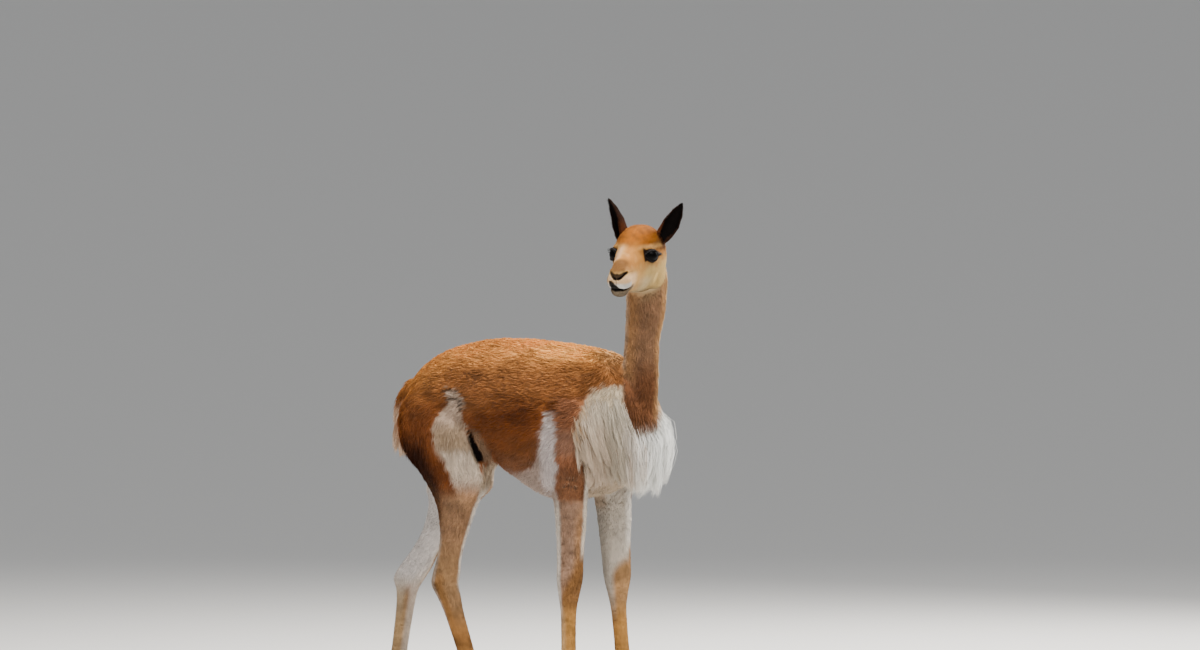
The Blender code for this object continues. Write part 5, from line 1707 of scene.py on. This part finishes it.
class VICUNA_OT_bib(bpy.types.Operator):
    """Hangs the long white hair of the chest in overlapping locks"""

    bl_idname = "vicuna.bib"
    bl_label = "Bib of chest hair"

    def execute(self, context):
        sizes = context.scene.vicuna_coat
        random = np.random.default_rng(25)
        skin = Skin()
        z = skin.middles[:, 2]
        n = skin.normals[skin.tris].mean(1)
        ragged = pictured(skin.middles) + 3.0 * noise(skin.middles, 0.012, 55)[:, None]
        area = within(ragged, BIB_AREA, 4.0) * smooth(0.775, 0.750, z) * (skin.middles[:, 0] > 0.0)
        density = BIB_DENSITY * area * (1 - tongue_mask(skin.middles)) * smooth(0.515, 0.55, z)
        density = density * smooth(-0.75, -0.2, n[:, 2])
        roots, normals = skin.roots(density * sizes.fullness, random)
        x, y, z = roots.T
        count = len(roots)
        seen = pictured(roots, mirror=False)[:, 0]
        tip = np.interp(y, (-0.12, -0.06, 0.0, 0.07, 0.12), (0.534, 0.520, 0.512, 0.499, 0.512))
        tip = tip + 0.020 * noise(roots, 0.026, 51) * (1 - 0.5 * smooth(0.02, 0.06, y))
        length = sizes.bib_length * random.uniform(0.60, 1.05, count)
        length = length * (0.6 + 0.4 * smooth(*BIB_LONG_COLUMNS, seen))
        length = np.clip(length, 0.03, np.maximum(z - tip, 0.035))
        far = smooth(0.02, 0.08, y)
        lift = np.interp(z, (0.60, 0.66, 0.72, 0.76), (0.020, 0.027, 0.020, 0.012)) * (1 - far)
        lift = lift + np.interp(z, (0.60, 0.66, 0.72, 0.76), (0.010, 0.026, 0.044, 0.030)) * far
        lift = lift * random.uniform(0.5, 1.15, count)
        draw_in = 0.16 + 0.14 * far
        sweep = 0.30 * smooth(-0.02, -0.08, y)
        edge = within(pictured(roots) + 3.0 * noise(roots, 0.012, 55)[:, None], BIB_AREA, 7.0)
        tan_edge = smooth(0.80, 0.30, edge) * smooth(0.62, 0.68, z) * smooth(0.06, 0.0, y)
        shade = smooth(*BIB_SHADE_COLUMNS, seen) * smooth(*BIB_SHADE_END_COLUMNS, seen)
        # The chest hair is white; its creamier, darker left and whiter right are painted shade and painted
        # light.
        colour = paint(
            np.tile(linear("#BEAA95"), (count, 1)),
            ("#A99C88", shade * 0.8),
            ("#F9FAF6", smooth(*BIB_WHITE_COLUMNS, seen) * 0.94),
            ("#D9CDB8", smooth(0.66, 0.73, z) * smooth(*BIB_CREAM_COLUMNS, seen) * 0.6),
            ("#B08A5C", tan_edge * 0.8),
        )
        colour = colour * random.uniform(0.93, 1.06, (count, 1))
        dark = smooth(0.9, 1.5, noise(roots * (1, 1, 0.3), 0.016, 53))
        dark = dark * smooth(0.0, -0.04, y) * smooth(-0.12, -0.09, y)
        colour = paint(colour, ("#7E5E3C", dark * smooth(0.71, 0.66, z) * 0.75))
        width = sizes.bib_width * random.uniform(0.6, 1.3, count)
        around = np.arctan2(y, x - 0.03)
        parts = np.array_split(np.argsort(around), max(1, math.ceil(count / BIB_STRANDS_A_PIECE)))
        for k, part in enumerate(parts):
            span = around[part].min() - 0.01, around[part].max() + 0.01
            uv = on_unwrap((around[part] - span[0]) / (span[1] - span[0]), (z[part] - 0.50) / 0.30)
            hanging(f"bib_{k + 1}", roots[part], normals[part], length[part], lift[part], BIB_PULL,
                    width[part], colour[part], uv, random, per_lock=55, stations=5,
                    draw_in=draw_in[part], lowest=tip[part], shade=(0.84, 1.0, 1.02), sweep=sweep[part])
        return {"FINISHED"}


class VICUNA_OT_tail(bpy.types.Operator):
    """Hangs the pale long hair of the tail and the short fringe under the belly"""

    bl_idname = "vicuna.tail"
    bl_label = "Tail and belly hair"

    def execute(self, context):
        sizes = context.scene.vicuna_coat
        random = np.random.default_rng(26)
        skin = Skin()
        x, y, z = skin.middles.T
        density = TAIL_DENSITY * (x < -0.515) * smooth(0.585, 0.60, z)
        density = density * (np.abs(y) < 0.05) * smooth(0.74, 0.70, z)
        roots, normals = skin.roots(density * sizes.fullness, random)
        count = len(roots)
        tip = np.interp(roots[:, 0], (-0.585, -0.53), (0.612, 0.600)) + 0.014 * noise(roots, 0.015, 54)
        room = np.maximum(roots[:, 2] - tip, 0.015)
        length = np.clip(TAIL_HAIR_LENGTH * random.uniform(0.6, 1.05, count), 0.015, room)
        colour = np.tile(linear("#CDB096"), (count, 1)) * random.uniform(0.85, 1.1, (count, 1))
        colour = paint(colour, ("#9A6030", smooth(0.67, 0.72, roots[:, 2]) * 0.95))
        uv = spread_uv(roots, 2, (-0.548, 0.0), (0.57, 0.80))
        lift = 0.003 * random.uniform(0.5, 1.2, count)
        width = TAIL_HAIR_WIDTH * random.uniform(0.7, 1.3, count)
        hanging("tail_hair", roots, normals, length, lift, TAIL_PULL, width, colour, uv, random,
                per_lock=30, stations=5)
        n = skin.normals[skin.tris].mean(1)
        under = smooth(-0.25, -0.7, n[:, 2]) * smooth(0.60, 0.56, z) * (z > 0.48) * (x > -0.27) * (x < 0.06)
        roots, normals = skin.roots(BELLY_DENSITY * under * (np.abs(y) < 0.11) * sizes.fullness, random)
        count = len(roots)
        length = BELLY_HAIR_LENGTH * random.uniform(0.6, 1.1, count)
        colour = marking(roots, normals) * random.uniform(0.9, 1.12, (count, 1))
        uv = on_unwrap((roots[:, 0] + 0.30) / 0.42, roots[:, 1] / 0.3 + 0.5)
        width = TAIL_HAIR_WIDTH * random.uniform(0.7, 1.3, count)
        hanging("belly_hair", roots, unit(normals + (-0.3, 0, 0)), length, np.full(count, 0.003), BELLY_PULL,
                width, colour, uv, random, per_lock=20, stations=4)
        return {"FINISHED"}


class VICUNA_OT_stage(bpy.types.Operator):
    """Sets the floor, the soft lights and the camera at the photograph's angle"""

    bl_idname = "vicuna.stage"
    bl_label = "Stage"

    def execute(self, context):
        look = context.scene.vicuna_stage
        scene = context.scene
        # Floor: flat out to 8 m, then rising with the square of the distance as one backdrop all round.
        r = np.concatenate([[0.01, 2, 4, 6, 8], np.linspace(8.5, 20, 24)])[:, None]
        a = np.linspace(0, math.tau, 96, endpoint=False)[None, :]
        height = 0.04 * np.clip(r - 8, 0, None) ** 2 + 0 * a
        points = np.stack([r * np.cos(a), r * np.sin(a), height], axis=-1)
        faces = ring_faces(len(r), 96)[:-1]
        floor = surface("studio_floor", (points.reshape(-1, 3), faces), shift=False)
        form = bmesh.new()
        form.from_mesh(floor.data)
        bmesh.ops.recalc_face_normals(form, faces=form.faces)
        if sum(face.normal.z for face in form.faces) < 0:
            bmesh.ops.reverse_faces(form, faces=form.faces)
        form.to_mesh(floor.data)
        form.free()
        floor.data.shade_smooth()
        # Matt paper that takes soft shadows and gives no reflection.
        paper, _, _ = new_material("matt_backdrop_paper", {
            "Base Color": (*look.floor_colour, 1), "Roughness": 0.95, "Specular IOR Level": 0.1})
        floor.data.materials.append(paper)
        world = bpy.data.worlds.new("soft_surround")
        world.use_nodes = True
        world.node_tree.nodes["Background"].inputs["Color"].default_value = (*linear("#E8ECF2"), 1)
        world.node_tree.nodes["Background"].inputs["Strength"].default_value = look.sky
        scene.world = world
        towards, right = TOWARDS_CAMERA, RIGHT_OF_CAMERA
        middle = Vector(SHIFT + (-0.15, 0, 0.7))
        # Lamps: name, place about the model, size and power.
        lamps = (("key", towards * 3.0 + right * 1.6 + (0, 0, 4.2), 2.2, look.key_power),
                 ("overhead", right * 0.4 + (0, 0, 4.2), 2.6, look.top_power),
                 ("fill", towards * 4.5 - right * 2.5 + (0, 0, 1.2), 3.0, look.key_power * 0.25),
                 ("rim", -towards * 2.6 + right * 2.4 + (0, 0, 2.8), 1.6, look.rim_power))
        for name, place, size, power in lamps:
            lamp = bpy.data.lights.new(name, "AREA")
            lamp.energy = power
            lamp.size = size
            lamp.color = (1.0, 0.97, 0.93)
            holder = bpy.data.objects.new(name, lamp)
            holder.location = Vector(place) + middle - Vector((0, 0, 0.7))
            holder.rotation_euler = (middle - holder.location).to_track_quat("-Z", "Y").to_euler()
            scene.collection.objects.link(holder)
        lens = bpy.data.cameras.new("camera")
        lens.sensor_width = 36.0
        lens.lens = 132.0
        lens.clip_end = 100.0
        lens.shift_x = 0.0054
        lens.shift_y = 0.0275
        camera = bpy.data.objects.new("camera", lens)
        camera.location = Vector(SHIFT + towards * CAMERA_DISTANCE + (0, 0, CAMERA_HEIGHT))
        camera.rotation_euler = Vector(-towards).to_track_quat("-Z", "Y").to_euler()
        scene.collection.objects.link(camera)
        scene.camera = camera
        return {"FINISHED"}


STEPS = (
    VICUNA_OT_skin, VICUNA_OT_eyes, VICUNA_OT_ears, VICUNA_OT_nails, VICUNA_OT_fleece, VICUNA_OT_neck_coat,
    VICUNA_OT_head_coat, VICUNA_OT_leg_coat, VICUNA_OT_bib, VICUNA_OT_tail, VICUNA_OT_stage)


class VICUNA_PT_panel(bpy.types.Panel):
    """Lists the steps that build the model"""

    bl_idname = "VICUNA_PT_panel"
    bl_label = "Vicuna"
    bl_space_type = "VIEW_3D"
    bl_region_type = "UI"
    bl_category = "Vicuna"

    def draw(self, context):
        column = self.layout.column()
        for group in (context.scene.vicuna_body, context.scene.vicuna_coat, context.scene.vicuna_stage):
            for name in group.__annotations__:
                column.prop(group, name)
        for step in STEPS:
            column.operator(step.bl_idname)


GROUPS = {"vicuna_body": VICUNA_PG_body, "vicuna_coat": VICUNA_PG_coat, "vicuna_stage": VICUNA_PG_stage}


def register():
    """Registers the settings, the steps and the panel."""
    for name, group in GROUPS.items():
        bpy.utils.register_class(group)
        setattr(bpy.types.Scene, name, PointerProperty(type=group))
    for kind in (*STEPS, VICUNA_PT_panel):
        bpy.utils.register_class(kind)


def unregister():
    """Takes them off again."""
    for kind in (VICUNA_PT_panel, *reversed(STEPS)):
        bpy.utils.unregister_class(kind)
    for name, group in GROUPS.items():
        delattr(bpy.types.Scene, name)
        bpy.utils.unregister_class(group)


def main():
    """Builds every piece in order."""
    register()
    for step in STEPS:
        group, name = step.bl_idname.split(".")
        getattr(getattr(bpy.ops, group), name)()


if __name__ == "__main__":
    main()
